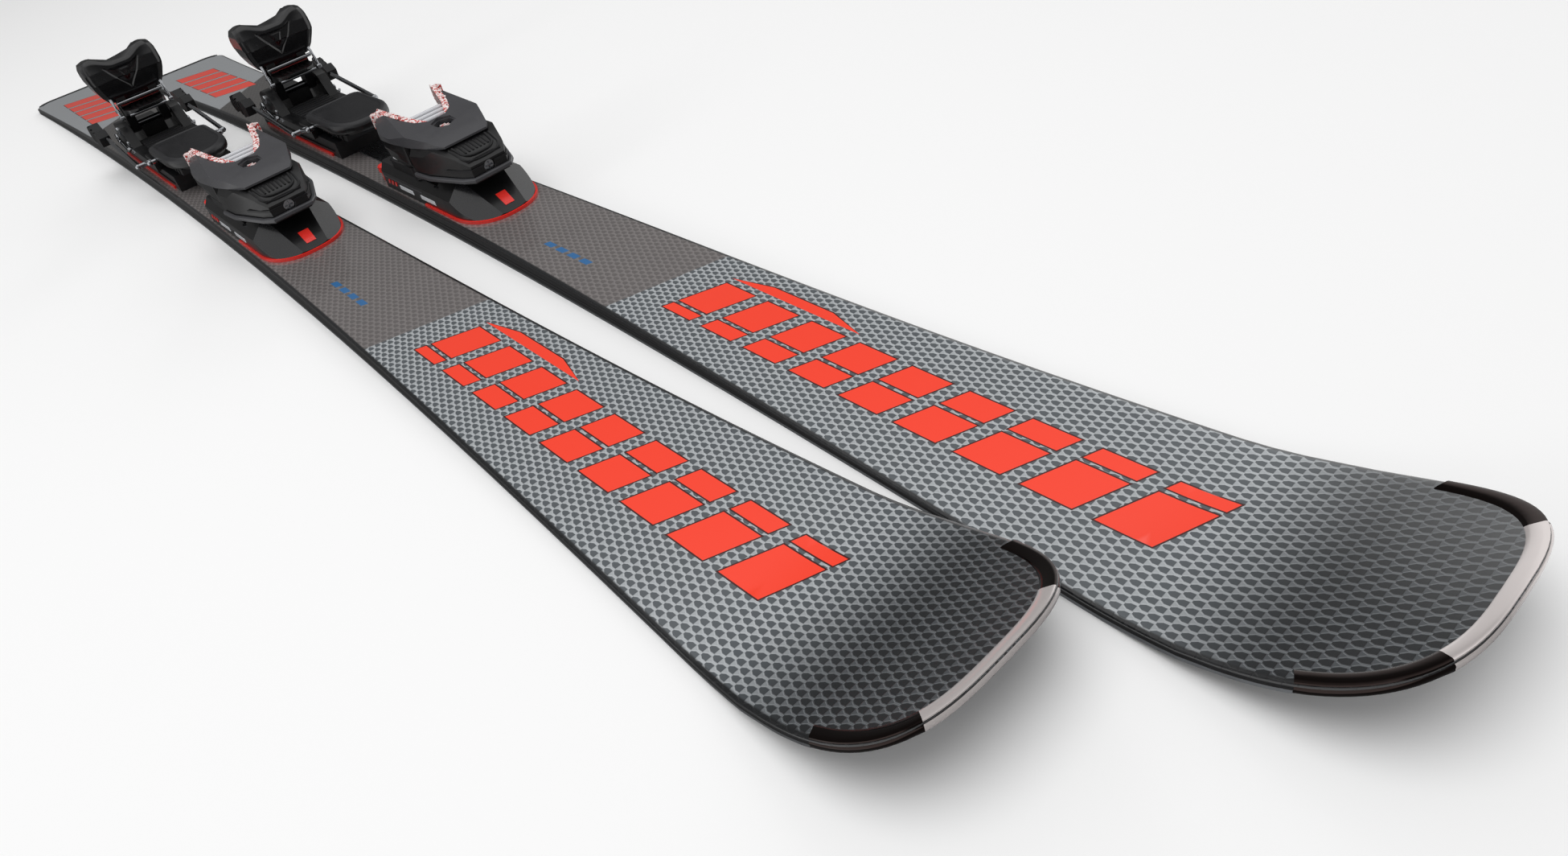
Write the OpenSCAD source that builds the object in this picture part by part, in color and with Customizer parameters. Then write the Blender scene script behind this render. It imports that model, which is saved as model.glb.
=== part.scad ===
/* [Ski] */
// Length of each ski, from tail to tip
ski_l = 1680; // [1560:10:1800]
// Greatest width of the shovel
tip_w = 131; // [122:1:138]
// Width at the waist, under the boot
waist_w = 77; // [74:1:79]
// Greatest width of the tail
tail_w = 105; // [96:1:115]
// Thickness of the ski under the boot
ski_t = 15.5; // [13:0.5:18]
// Thickness of the ski at its two ends
end_t = 6; // [5.5:0.5:8]
// Height of the tip's running surface above the snow
tip_rise = 42; // [30:1:60]

/* [Pair] */
// Gap between the two skis where they come closest
pair_gap = 2; // [2:1:60]
// How far the left ski lies ahead of the right one
left_lead = 120; // [0:5:200]

/* [Boot] */
// Length of the boot sole that the bindings are set for
sole_l = 300; // [285:1:320]
// Height of the risers that lift both binding pieces off the deck
riser_h = 12; // [8:1:16]
// Height of the boot sole above the risers at the toe
stand_h = 20; // [20:0.5:21]

/* [Hidden] */
$fn = 48;
SIDES = ["left", "right"];
PARTS = [
    "base", "edges", "core", "sidewalls", "topsheet", "tip_guard", "tail_guard",
    "toe_plate", "heel_track", "plate_trim", "rail_strip", "plate_screws",
    "toe_carriage", "toe_housing", "toe_cover", "toe_wing_left", "toe_wing_right",
    "toe_pins", "toe_spring", "toe_adjuster", "afd_pad",
    "heel_carriage", "heel_cup", "heel_lever", "heel_pin", "heel_spring", "heel_adjuster",
    "brake_pedal", "brake_wire", "brake_feet"
];
NODES = [for (side = SIDES) for (part = PARTS) str(side, "_", part)];
node = "all";

// Stations along the ski, measured from the tail
waist_x = 0.427 * ski_l;
widest_x = ski_l - 90;
tail_widest_x = 70;
mid_sole_x = 0.42 * ski_l;
toe_x = mid_sole_x + sole_l / 2;
heel_x = mid_sole_x - sole_l / 2;
pair_l = ski_l + left_lead;

// Layers of the ski
edge_w = 2.2;
edge_t = 2;
topsheet_t = 1;
guard_w = 7;
guard_proud = 0.8;
guard_l = 46;
tail_corner_r = 24;
tail_guard_l = 14;
tip_power = 3.2;
rise_l = 140;
rise_x = ski_l - rise_l;
rise_r = (rise_l * rise_l + tip_rise * tip_rise) / (2 * tip_rise);
flat_half = 235;
taper_l = 560;
edge_overrun = 20;
deep = 400;

// Heights above the top of the risers, and clearances
plate_t = 9;
track_t = 5;
track_w = 60;
slide_gap = 0.4;
fit_gap = 0.05;
face_gap = 0.3;
screw_r = 2.2;
screw_head_r = 4.4;
screw_head_h = 2.2;
screw_l = 13 + riser_h;
socket_r = 1.6;
socket_d = 1;
strip_half = 13;
strip_t = 1.5;
trim_w = 1.8;
trim_h = 2.4;
coil_r = 5.9;
coil_wire = 1.2;

// Toe piece, measured from the boot's toe at the top of the riser
wing_pin = [10, 24];
pin_r = 3;
wing_lo = stand_h + 0.5;
wing_hi = 44;
cover_lo = wing_hi + face_gap;
toe_spring_z = 26;
toe_bore_r = 7.5;
toe_screw_r = 4.5;
housing_front = 98;
housing_lo = stand_h - 3;
plate_back = -70;
plate_half = 35;
boss_r = 8;
post_x = 16;
window_x = 38;
window_r = 9;
pad_half = 28;

// Heel piece, measured from the boot's heel at the top of the riser
heel_pivot = [-40, 27];
heel_bore_z = 15.5;
heel_bore_r = 7.5;
heel_screw_r = 6;
heel_screw_x = -84;
track_back = -100;
track_l = 220;
carriage_back = -80;
carriage_l = 155;
tower_y = 23;
tower_w = 10;
cup_half = 38;
cup_arm_y = 17;
cup_arm_w = 9;
carriage_lo = track_t + slide_gap;
carriage_hi = 11;
carriage_half = 34;
lever_pivot = [-35, 67];
lever_half = 22;
brake_axis = [56, 10.2];
wire_r = 2.5;
arm_r = 2.3;
bend_r = 2.9;
arm_y = 46;
crank_y = 37.5;
pedal_rod = [82, 16];
pedal_half = 31;
pedal_back = 60;
rod_gap = 17;
foot_w = 11;
foot_end = [-62, 22];

// Half width of the ski at a station
function half_w(x) = x > waist_x
    ? waist_w / 2 + (tip_w - waist_w) / 2 * pow((x - waist_x) / (widest_x - waist_x), 2)
    : waist_w / 2 + (tail_w - waist_w) / 2 * pow((waist_x - x) / (waist_x - tail_widest_x), 2);
// Height of the running surface at a station
function base_z(x) = x > rise_x ? rise_r - sqrt(rise_r * rise_r - pow(x - rise_x, 2)) : 0;
// Thickness of the ski at a station
function blend(t) = (1 - cos(180 * min(max(t, 0), 1))) / 2;
function ski_thick(x) = ski_t - (ski_t - end_t) * blend((abs(x - mid_sole_x) - flat_half) / taper_l);
// Distance between the centre lines of the two skis
pair_w = half_w(widest_x) + half_w(widest_x - left_lead) + 2 * guard_proud + pair_gap;
// Stations at which the side profile bends
stations = concat(
    [for (i = [0 : 12]) -edge_overrun + i * (mid_sole_x - flat_half + edge_overrun) / 12],
    [mid_sole_x + flat_half],
    [for (i = [1 : 12]) mid_sole_x + flat_half + i * (rise_x - mid_sole_x - flat_half) / 12],
    [for (i = [1 : 11]) rise_x + i * rise_l / 10]
);

// One side of the outline from tail to tip, moved in by a margin
function outline_half(margin) = concat(
    [for (a = [180 : -15 : 90]) [
        tail_corner_r + (tail_corner_r - margin) * cos(a),
        half_w(tail_corner_r) - tail_corner_r + (tail_corner_r - margin) * sin(a)
    ]],
    [for (i = [1 : 26]) let (x = tail_corner_r + i * (widest_x - tail_corner_r) / 26)
        [x, half_w(x) - margin]],
    [for (a = [8 : 8 : 88]) [
        widest_x + (ski_l - widest_x - margin) * pow(sin(a), 2 / tip_power),
        (tip_w / 2 - margin) * pow(cos(a), 2 / tip_power)
    ]],
    [[ski_l - margin, 0]]
);
function mirrored(points) = [for (i = [len(points) - 2 : -1 : 0]) [points[i][0], -points[i][1]]];

module outline(margin) {
    half = outline_half(margin);
    polygon(concat(half, mirrored(half)));
}

// The zone of the front and rear guards, which the other layers leave free
module guard_zone() {
    translate([ski_l - guard_l, -tip_w]) square([2 * guard_l, 2 * tip_w]);
    translate([-guard_l, -tip_w]) square([guard_l + tail_guard_l, 2 * tip_w]);
}

module ring(outer, inner) {
    difference() {
        outline(outer);
        outline(inner);
    }
}

// A shape in the X-Z plane drawn across the ski
module across(points, w) {
    rotate([90, 0, 0]) linear_extrude(w, center = true) polygon(points);
}

// A shape in the Y-Z plane drawn along the ski
module along(points, x0, x1) {
    translate([x0, 0, 0]) rotate([90, 0, 90]) linear_extrude(x1 - x0) polygon(points);
}

// The slice of the ski from a height above the running surface up to another height, which
// from_deck measures down from the deck instead
module slice(lo, hi, from_deck) {
    top = [for (x = stations) [x, base_z(x) + (from_deck ? ski_thick(x) - hi : hi)]];
    low = [for (i = [len(stations) - 1 : -1 : 0]) let (x = stations[i]) [x, base_z(x) + lo]];
    across(concat(top, low), deep);
}

module deck_slice() {
    top = [for (x = stations) [x, base_z(x) + ski_thick(x)]];
    low = [for (i = [len(stations) - 1 : -1 : 0]) let (x = stations[i])
        [x, base_z(x) + ski_thick(x) - topsheet_t]];
    across(concat(top, low), deep);
}

module tall(h = deep) {
    translate([0, 0, -1]) linear_extrude(h) children();
}

module on_toe(z = riser_h) {
    translate([toe_x, 0, ski_t + z]) children();
}

module on_heel(z = riser_h) {
    translate([heel_x, 0, ski_t + z]) children();
}

module both_sides() {
    children();
    mirror([0, 1, 0]) children();
}

// A rod between two points
module rod(a, b, r) {
    d = b - a;
    l = norm(d);
    translate(a) rotate([0, acos(d[2] / l), atan2(d[1], d[0])]) cylinder(h = l, r = r);
}

// A bore or shaft across the ski at a point of the side view
module cross_pin(at, r, half) {
    translate([at[0], 0, at[1]]) rotate([90, 0, 0]) cylinder(h = 2 * half, r = r, center = true);
}

// A bore or shaft along the ski
module long_pin(x0, x1, z, r) {
    translate([x0, 0, z]) rotate([0, 90, 0]) cylinder(h = x1 - x0, r = r);
}

// Screw places on the toe plate and on the heel track
toe_screws = [[-58, 20], [44, 27]];
track_screws = [[-70, 20], [98, 20]];

module at_toe_screws() {
    on_toe() for (p = toe_screws) for (s = [-1, 1]) translate([p[0], s * p[1], plate_t]) children();
}

module at_track_screws() {
    on_heel() for (p = track_screws) for (s = [-1, 1]) translate([p[0], s * p[1], track_t]) children();
}

module screw() {
    translate([0, 0, -screw_l]) cylinder(h = screw_l - screw_head_h, r = screw_r);
    translate([0, 0, -screw_head_h]) cylinder(h = screw_head_h, r1 = screw_r, r2 = screw_head_r);
}

module socket() {
    translate([0, 0, -socket_d]) cylinder(h = 2 * socket_d, r = socket_r, $fn = 6);
}

module all_screws() {
    at_toe_screws() screw();
    at_track_screws() screw();
}

// ---- Ski ----

module base() {
    color("#202124") intersection() {
        tall() outline(edge_w);
        slice(0, edge_t, false);
    }
}

module edges() {
    color("silver") intersection() {
        tall() difference() {
            ring(0, edge_w);
            guard_zone();
        }
        slice(0, edge_t, false);
    }
}

module core() {
    color("burlywood") difference() {
        intersection() {
            tall() outline(guard_w);
            slice(edge_t, topsheet_t, true);
        }
        all_screws();
    }
}

module sidewalls() {
    color("#1b1c1f") intersection() {
        tall() difference() {
            ring(0, guard_w);
            guard_zone();
        }
        slice(edge_t, topsheet_t, true);
    }
}

module topsheet() {
    color("#5b6066") difference() {
        intersection() {
            tall() difference() {
                outline(0);
                intersection() {
                    ring(0, guard_w);
                    guard_zone();
                }
            }
            deck_slice();
        }
        all_screws();
    }
}

module guard(x0, x1) {
    intersection() {
        tall() intersection() {
            ring(-guard_proud, guard_w);
            translate([x0, -tip_w]) square([x1 - x0, 2 * tip_w]);
        }
        slice(edge_t, -guard_proud, true);
    }
    intersection() {
        tall() intersection() {
            ring(-guard_proud, edge_w);
            translate([x0, -tip_w]) square([x1 - x0, 2 * tip_w]);
        }
        slice(0, edge_t, false);
    }
}

module tip_guard() {
    color("#c9cacd") guard(ski_l - guard_l, ski_l + guard_l);
}

module tail_guard() {
    color("#2a2b2e") guard(-guard_l, tail_guard_l);
}

// ---- Plates ----

// Outline of the front plate: straight sides and a round nose
module nose_outline(margin) {
    nose_x = 70;
    nose_l = 45 + margin;
    half = plate_half + margin;
    arc = [for (a = [90 : -6 : 0]) [nose_x + nose_l * pow(cos(a), 0.85), half * pow(sin(a), 0.85)]];
    side = concat([[plate_back, half - 8], [plate_back + 10, half]], arc);
    polygon(concat(side, mirrored(side)));
}

module toe_plate() {
    color("#17181a") difference() {
        on_toe() intersection() {
            linear_extrude(2 * deep, center = true) nose_outline(0);
            across([[plate_back, -riser_h], [115, -riser_h], [115, 3 - riser_h], [76, 16.5], [56, 16.5],
                [50, plate_t], [plate_back + 8, plate_t], [plate_back, 6]], deep);
            along([[-plate_half - 1, -riser_h], [plate_half + 1, -riser_h], [plate_half + 1, 3.5],
                [plate_half - 4, plate_t], [22, 17], [-22, 17], [4 - plate_half, plate_t],
                [-plate_half - 1, 3.5]], plate_back - 10, deep);
        }
        at_toe_screws() screw();
    }
}

module heel_track() {
    color("#17181a") difference() {
        on_heel(0) translate([track_back, -track_w / 2, 0]) cube([track_l, track_w, riser_h + track_t]);
        at_track_screws() screw();
    }
}

module plate_trim() {
    color("#d8232a") {
        on_toe(0) linear_extrude(trim_h) difference() {
            nose_outline(trim_w);
            nose_outline(0);
            translate([-deep + 20, -deep / 2]) square([deep, deep]);
        }
        on_heel(0) both_sides() translate([track_back + 10, track_w / 2, 0])
            cube([track_l - 30, trim_w, trim_h]);
    }
}

module rail_strip() {
    strip_x = heel_x + track_back + track_l;
    color("silver") translate([strip_x, -strip_half, ski_t])
        cube([toe_x + plate_back - strip_x, 2 * strip_half, strip_t]);
}

module plate_screws() {
    color("silver") difference() {
        all_screws();
        at_toe_screws() socket();
        at_track_screws() socket();
    }
}

// ---- Toe piece ----

module toe_carriage() {
    color("#1d1e20") difference() {
        on_toe() {
            translate([-38, -30, plate_t]) cube([44, 60, housing_lo - plate_t]);
            translate([-6, -22, plate_t]) cube([55, 44, housing_lo - plate_t]);
            both_sides() translate([wing_pin[0], wing_pin[1], plate_t])
                cylinder(h = wing_lo - face_gap - plate_t, r = boss_r);
            translate([post_x, -12, housing_lo - 1]) cube([10, 24, 27]);
        }
        on_toe() both_sides() translate([wing_pin[0], wing_pin[1], 0]) cylinder(h = deep, r = pin_r);
    }
}

module toe_pins() {
    color("silver") on_toe() both_sides() translate([wing_pin[0], wing_pin[1], plate_t + 1])
        cylinder(h = wing_hi - plate_t - 1, r = pin_r);
}

module toe_wing() {
    arm = [[1, 9], [10, 9.5], [10, -4], [3, -9], [-12, -7], [-20, -1], [-27, 6], [-28, 12], [-22, 14]];
    color("#242528") on_toe() difference() {
        translate([wing_pin[0], wing_pin[1], 0]) intersection() {
            translate([0, 0, wing_lo]) linear_extrude(wing_hi - wing_lo) polygon(arm);
            across([[-30, 34], [-24, wing_lo], [12, wing_lo], [12, wing_hi], [-30, wing_hi]], deep);
        }
        translate([wing_pin[0], wing_pin[1], 0]) cylinder(h = deep, r = pin_r + fit_gap);
        translate([-30, 0, wing_lo - 1]) cube([26, 22, 20]);
    }
}

module toe_housing() {
    lo = housing_lo;
    side = plate_half;
    color("#151618") on_toe() difference() {
        intersection() {
            across([[28, lo], [housing_front, lo], [housing_front, 31.5], [88, 38.5], [66, cover_lo],
                [28, cover_lo]], deep);
            tall() polygon([[28, side], [52, side - 2], [housing_front - 8, 21], [housing_front, 16],
                [housing_front, -16], [housing_front - 8, -21], [52, 2 - side], [28, -side]]);
            along([[-side, lo + 4], [4 - side, lo], [side - 4, lo], [side, lo + 4], [side, 36],
                [29, cover_lo], [-29, cover_lo], [-side, 36]], 0, deep);
        }
        long_pin(32, housing_front - 12, toe_spring_z, toe_bore_r);
        long_pin(60, deep, toe_spring_z, toe_screw_r + fit_gap);
    }
}

module toe_cover() {
    leg_x = -30;
    color("#3b3d40") on_toe() difference() {
        intersection() {
            tall() polygon([[72, 20], [66, 24], [36, 34], [6, 38], [leg_x + 16, 38], [leg_x, 32],
                [leg_x + 2, 25], [6, 17], [18, 12], [18, -12], [6, -17], [leg_x + 2, -25], [leg_x, -32],
                [leg_x + 16, -38], [6, -38], [36, -34], [66, -24], [72, -20]]);
            across([[leg_x, cover_lo + 8], [leg_x + 14, cover_lo], [72, cover_lo], [72, cover_lo + 1.5],
                [57, 50], [30, 54], [leg_x, 65]], deep);
        }
        translate([window_x, 0, cover_lo - 1]) cylinder(h = 20, r = window_r, $fn = 6);
    }
}

// A coil spring along X, swept as a ring of five sides
module coil(x0, x1, z, turns) {
    wire = coil_wire;
    steps = turns * 12;
    sides = 5;
    points = [for (i = [0 : steps]) for (k = [0 : sides - 1]) let (
        a = 360 * turns * i / steps,
        b = 360 * k / sides,
        r = coil_r + wire * cos(b)
    ) [x0 + wire + (x1 - x0 - 2 * wire) * i / steps + wire * sin(b), r * cos(a), z + r * sin(a)]];
    walls = [for (i = [0 : steps - 1]) for (k = [0 : sides - 1]) let (
        n = (k + 1) % sides,
        p = i * sides
    ) each [[p + k, p + n, p + sides + n], [p + k, p + sides + n, p + sides + k]]];
    ends = [for (k = [1 : sides - 2]) each [[0, k + 1, k],
        [steps * sides, steps * sides + k, steps * sides + k + 1]]];
    polyhedron(points = points, faces = concat(walls, ends));
}

module toe_spring() {
    color("silver") on_toe() coil(32.5, housing_front - 12.5, toe_spring_z, 7);
}

// The cross cut into a screw head of a given radius that faces along X
module cross_slot(r) {
    slot_w = 1.6;
    slot_d = 2;
    reach = 0.75 * r;
    translate([-slot_d, -reach, -slot_w / 2]) cube([2 * slot_d, 2 * reach, slot_w]);
    translate([-slot_d, -slot_w / 2, -reach]) cube([2 * slot_d, slot_w, 2 * reach]);
}

module toe_adjuster() {
    head = housing_front - 2;
    color("#b8babd") on_toe() difference() {
        long_pin(housing_front - 11.5, head, toe_spring_z, toe_screw_r);
        translate([head, 0, toe_spring_z]) cross_slot(toe_screw_r);
    }
}

module afd_pad() {
    color("#e3e4e6") on_toe() intersection() {
        translate([-36, -pad_half, housing_lo + face_gap])
            cube([30, 2 * pad_half, stand_h - housing_lo - face_gap]);
        along([[-pad_half, 0], [pad_half, 0], [pad_half, stand_h - 1], [pad_half - 2, stand_h],
            [2 - pad_half, stand_h], [-pad_half, stand_h - 1]], -40, 0);
    }
}

// ---- Heel piece ----

module heel_carriage() {
    color("#17181a") on_heel() difference() {
        union() {
            translate([carriage_back, -carriage_half, carriage_lo])
                cube([carriage_l, 2 * carriage_half, carriage_hi - carriage_lo]);
            both_sides() translate([carriage_back, track_w / 2 + slide_gap, trim_h + slide_gap])
                cube([carriage_l, carriage_half - track_w / 2 - slide_gap, 3]);
            both_sides() intersection() {
                translate([-64, tower_y, carriage_hi]) cube([52, tower_w, 28]);
                across([[-64, carriage_hi], [-12, carriage_hi], [-26, 32], [-33, 35], [-47, 35],
                    [-54, 32]], deep);
            }
            translate([carriage_back, -12, carriage_hi]) cube([48, 24, heel_bore_z + 9 - carriage_hi]);
            translate([42, 1 - carriage_half, carriage_hi])
                cube([28, 2 * carriage_half - 2, 4]);
        }
        cross_pin(heel_pivot, pin_r, deep);
        cross_pin(brake_axis, wire_r + fit_gap, deep);
        long_pin(-72, -34, heel_bore_z, heel_bore_r);
        long_pin(-deep, -60, heel_bore_z, heel_screw_r + fit_gap);
    }
}

module heel_pin() {
    color("silver") on_heel() cross_pin(heel_pivot, pin_r, carriage_half);
}

module heel_spring() {
    color("silver") on_heel() coil(-71.5, -34.5, heel_bore_z, 6);
}

module heel_adjuster() {
    color("#b8babd") on_heel() difference() {
        long_pin(heel_screw_x, heel_screw_x + 11.5, heel_bore_z, heel_screw_r);
        translate([heel_screw_x, 0, heel_bore_z]) cross_slot(heel_screw_r);
    }
}

// The heel cup, drawn open
module heel_cup() {
    w = cup_half;
    color("#0f1012") on_heel() {
        difference() {
            union() {
                intersection() {
                    across([[-30, 60], [-20, 64], [-13, 76], [-9, 82], [-12, 93], [-20, 105],
                        [-36, 106], [-47, 92], [-44, 72], [-40, 64]], deep);
                    along([[-27, 58], [27, 58], [33, 68], [w, 84], [w, 98], [w - 5, 107], [12, 100],
                        [-12, 100], [5 - w, 107], [-w, 98], [-w, 84], [-33, 68]], -60, 10);
                }
                both_sides() translate([0, cup_arm_y, 0]) across([[-48, 22], [-40, 18.5], [-32, 22],
                    [-29, 36], [-20, 54], [-22, 66], [-38, 66], [-44, 44]], cup_arm_w);
                across([[-32, 40], [0, 47], [2, 50], [-26, 50], [-30, 58], [-36, 58]], 44);
            }
            cross_pin(heel_pivot, pin_r + fit_gap, deep);
            across([[-25, 60], [5, 60], [5, 74], [-20, 78]], 34);
            lever_slot();
        }
        cross_pin(lever_pivot, pin_r, lever_half + 1);
    }
}

// The space that the lever swings in
module lever_slot() {
    across([[-39, 57], [-27, 61], [-28, 76], [-36, 90], [-44, 120], [-80, 120], [-80, 57]],
        2 * lever_half + 2 * slide_gap);
}

module heel_lever() {
    color("#1b1c1e") on_heel() difference() {
        across([[-40, 62], [-33, 60.5], [-29, 66], [-31, 73], [-38, 78], [-56, 77], [-74, 67],
            [-80, 59], [-75, 56], [-60, 63], [-48, 66]], 2 * lever_half);
        cross_pin(lever_pivot, pin_r + fit_gap, deep);
    }
}

// ---- Brake ----

module pedal_outline() {
    half = pedal_half;
    back = pedal_back;
    nose = [for (a = [90 : -10 : 0]) [120 + 37 * cos(a), half * pow(sin(a), 0.8)]];
    side = concat([[back, half - 7], [back + 6, half - 2], [back + 30, half]], nose);
    polygon(concat(side, mirrored(side)));
}

module brake_pedal() {
    color("#2c2d30") on_heel() difference() {
        union() {
            intersection() {
                tall() pedal_outline();
                across([[pedal_back, 18], [72, 17], [152, 14], [158, 18], [156, 24], [146, 27],
                    [pedal_back + 2, 27], [pedal_back, 25]], deep);
            }
            translate([76, -24, 8]) cube([66, 48, 10]);
        }
        cross_pin(pedal_rod, arm_r, deep);
    }
}

module brake_wire() {
    axis_at = [brake_axis[0], 0, brake_axis[1]];
    rod_at = [pedal_rod[0], 0, pedal_rod[1]];
    foot_at = [foot_end[0], 0, foot_end[1]];
    out = [0, arm_y, 0];
    in = [0, crank_y, 0];
    color("silver") on_heel() {
        cross_pin(brake_axis, wire_r, arm_y);
        both_sides() {
            rod(axis_at + out, foot_at + out, arm_r);
            translate(axis_at + out) sphere(r = bend_r);
            rod(axis_at + in, rod_at + in, arm_r);
            translate(rod_at + in) sphere(r = bend_r);
            rod(rod_at + [0, crank_y - rod_gap, 0], rod_at + in, arm_r);
        }
    }
}

module brake_feet() {
    color("#141517") on_heel() difference() {
        both_sides() translate([0, arm_y + 2, 0]) across([[-104, 20], [-96, 12], [-84, 15], [-72, 10],
            [-54, 14], [-52, 24], [-60, 30], [-74, 27], [-88, 33], [-98, 30]], foot_w);
        both_sides() rod([brake_axis[0], arm_y, brake_axis[1]], [foot_end[0], arm_y, foot_end[1]], arm_r);
    }
}

// ---- Pair ----

module place(side) {
    left = side == "left";
    x = (left ? left_lead : 0) - pair_l / 2;
    y = (left ? 1 : -1) * pair_w / 2;
    translate([x, y, 0]) children();
}

function wanted(side, part) = node == "all" || node == str(side, "_", part);

for (side = SIDES) place(side) {
    if (wanted(side, "base")) base();
    if (wanted(side, "edges")) edges();
    if (wanted(side, "core")) core();
    if (wanted(side, "sidewalls")) sidewalls();
    if (wanted(side, "topsheet")) topsheet();
    if (wanted(side, "tip_guard")) tip_guard();
    if (wanted(side, "tail_guard")) tail_guard();
    if (wanted(side, "toe_plate")) toe_plate();
    if (wanted(side, "heel_track")) heel_track();
    if (wanted(side, "plate_trim")) plate_trim();
    if (wanted(side, "rail_strip")) rail_strip();
    if (wanted(side, "plate_screws")) plate_screws();
    if (wanted(side, "toe_carriage")) toe_carriage();
    if (wanted(side, "toe_housing")) toe_housing();
    if (wanted(side, "toe_cover")) toe_cover();
    if (wanted(side, "toe_wing_left")) toe_wing();
    if (wanted(side, "toe_wing_right")) mirror([0, 1, 0]) toe_wing();
    if (wanted(side, "toe_pins")) toe_pins();
    if (wanted(side, "toe_spring")) toe_spring();
    if (wanted(side, "toe_adjuster")) toe_adjuster();
    if (wanted(side, "afd_pad")) afd_pad();
    if (wanted(side, "heel_carriage")) heel_carriage();
    if (wanted(side, "heel_cup")) heel_cup();
    if (wanted(side, "heel_lever")) heel_lever();
    if (wanted(side, "heel_pin")) heel_pin();
    if (wanted(side, "heel_spring")) heel_spring();
    if (wanted(side, "heel_adjuster")) heel_adjuster();
    if (wanted(side, "brake_pedal")) brake_pedal();
    if (wanted(side, "brake_wire")) brake_wire();
    if (wanted(side, "brake_feet")) brake_feet();
}
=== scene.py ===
"""Looks for a pair of alpine skis with bindings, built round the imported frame.

Every piece is made once in the ski's own space, in millimetres: X from the tail to the tip, Y to the
skier's left, Z up from the running base. It is then placed on both skis.
"""

import math

import bmesh
import bpy
from mathutils import Matrix, Vector
from mathutils.geometry import delaunay_2d_cdt


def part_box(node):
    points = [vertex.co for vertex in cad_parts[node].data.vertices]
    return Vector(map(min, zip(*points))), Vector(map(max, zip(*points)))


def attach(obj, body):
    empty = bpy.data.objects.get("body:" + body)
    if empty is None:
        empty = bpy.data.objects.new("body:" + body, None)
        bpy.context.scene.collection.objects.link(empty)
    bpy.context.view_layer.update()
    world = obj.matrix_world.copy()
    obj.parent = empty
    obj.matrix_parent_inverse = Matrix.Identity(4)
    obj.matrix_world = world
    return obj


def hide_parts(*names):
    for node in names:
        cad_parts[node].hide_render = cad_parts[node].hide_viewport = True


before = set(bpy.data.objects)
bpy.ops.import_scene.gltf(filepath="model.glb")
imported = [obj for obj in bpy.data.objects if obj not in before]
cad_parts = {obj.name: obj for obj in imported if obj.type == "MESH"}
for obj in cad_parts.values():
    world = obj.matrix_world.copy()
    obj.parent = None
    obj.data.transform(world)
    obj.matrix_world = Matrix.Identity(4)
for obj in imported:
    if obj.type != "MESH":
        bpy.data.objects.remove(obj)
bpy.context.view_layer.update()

MM = 0.001
SIDES = ("right", "left")
CUT, KEEP = "DIFFERENCE", "INTERSECT"

# ---- driving sizes, as in the CAD part
SKI_L = 1680.0
TIP_W, WAIST_W, TAIL_W = 131.0, 77.0, 105.0
SKI_T, END_T = 15.5, 6.0
TIP_RISE, RISE_L = 42.0, 140.0
WAIST_X = 0.427 * SKI_L
WIDEST_X = SKI_L - 90.0
TAIL_WIDEST_X = 70.0
MID_SOLE_X = 0.42 * SKI_L
TOE_X = MID_SOLE_X + 150.0
HEEL_X = MID_SOLE_X - 150.0
RISE_X = SKI_L - RISE_L
RISE_R = (RISE_L**2 + TIP_RISE**2) / (2 * TIP_RISE)
FLAT_HALF, TAPER_L = 235.0, 560.0
TAIL_R = 24.0
TIP_POWER = 3.2
GUARD_L, TAIL_GUARD_L = 46.0, 14.0
RISER = 12.0
TOE = Vector((TOE_X, 0.0, SKI_T + RISER))
HEEL = Vector((HEEL_X, 0.0, SKI_T + RISER))


def place_of(side):
    """The ski's own origin in the frame."""
    low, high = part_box(f"{side}_base")
    return Vector(((low.x + high.x) / 2 - SKI_L * MM / 2, (low.y + high.y) / 2, 0.0))


PLACES = {side: place_of(side) for side in SIDES}


# ---- curves
def ramp(value, low, high):
    """0 below low, 1 above high, smooth between."""
    t = min(max((value - low) / (high - low), 0.0), 1.0)
    return t * t * (3 - 2 * t)


def between(knots, value):
    """The curve through the knots at a value: straight between them, level beyond the last."""
    for (v0, r0), (v1, r1) in zip(knots, knots[1:]):
        if value <= v1:
            return r0 + (r1 - r0) * (value - v0) / (v1 - v0)
    return knots[-1][1]


# ---- shape of the ski
def half_width(x):
    if x > WAIST_X:
        t = (x - WAIST_X) / (WIDEST_X - WAIST_X)
        return WAIST_W / 2 + (TIP_W - WAIST_W) / 2 * t * t
    t = (WAIST_X - x) / (WAIST_X - TAIL_WIDEST_X)
    return WAIST_W / 2 + (TAIL_W - WAIST_W) / 2 * t * t


def base_z(x):
    return RISE_R - math.sqrt(RISE_R**2 - (x - RISE_X) ** 2) if x > RISE_X else 0.0


def thickness(x):
    t = min(max((abs(x - MID_SOLE_X) - FLAT_HALF) / TAPER_L, 0.0), 1.0)
    return SKI_T - (SKI_T - END_T) * (1 - math.cos(math.pi * t)) / 2


def deck_z(x):
    return base_z(x) + thickness(x)


def end_half_width(x):
    """Half width of the tip's round end."""
    t = min(max((x - WIDEST_X) / (SKI_L - WIDEST_X), 0.0), 1.0)
    return TIP_W / 2 * (1 - t**TIP_POWER) ** (1 / TIP_POWER)


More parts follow.
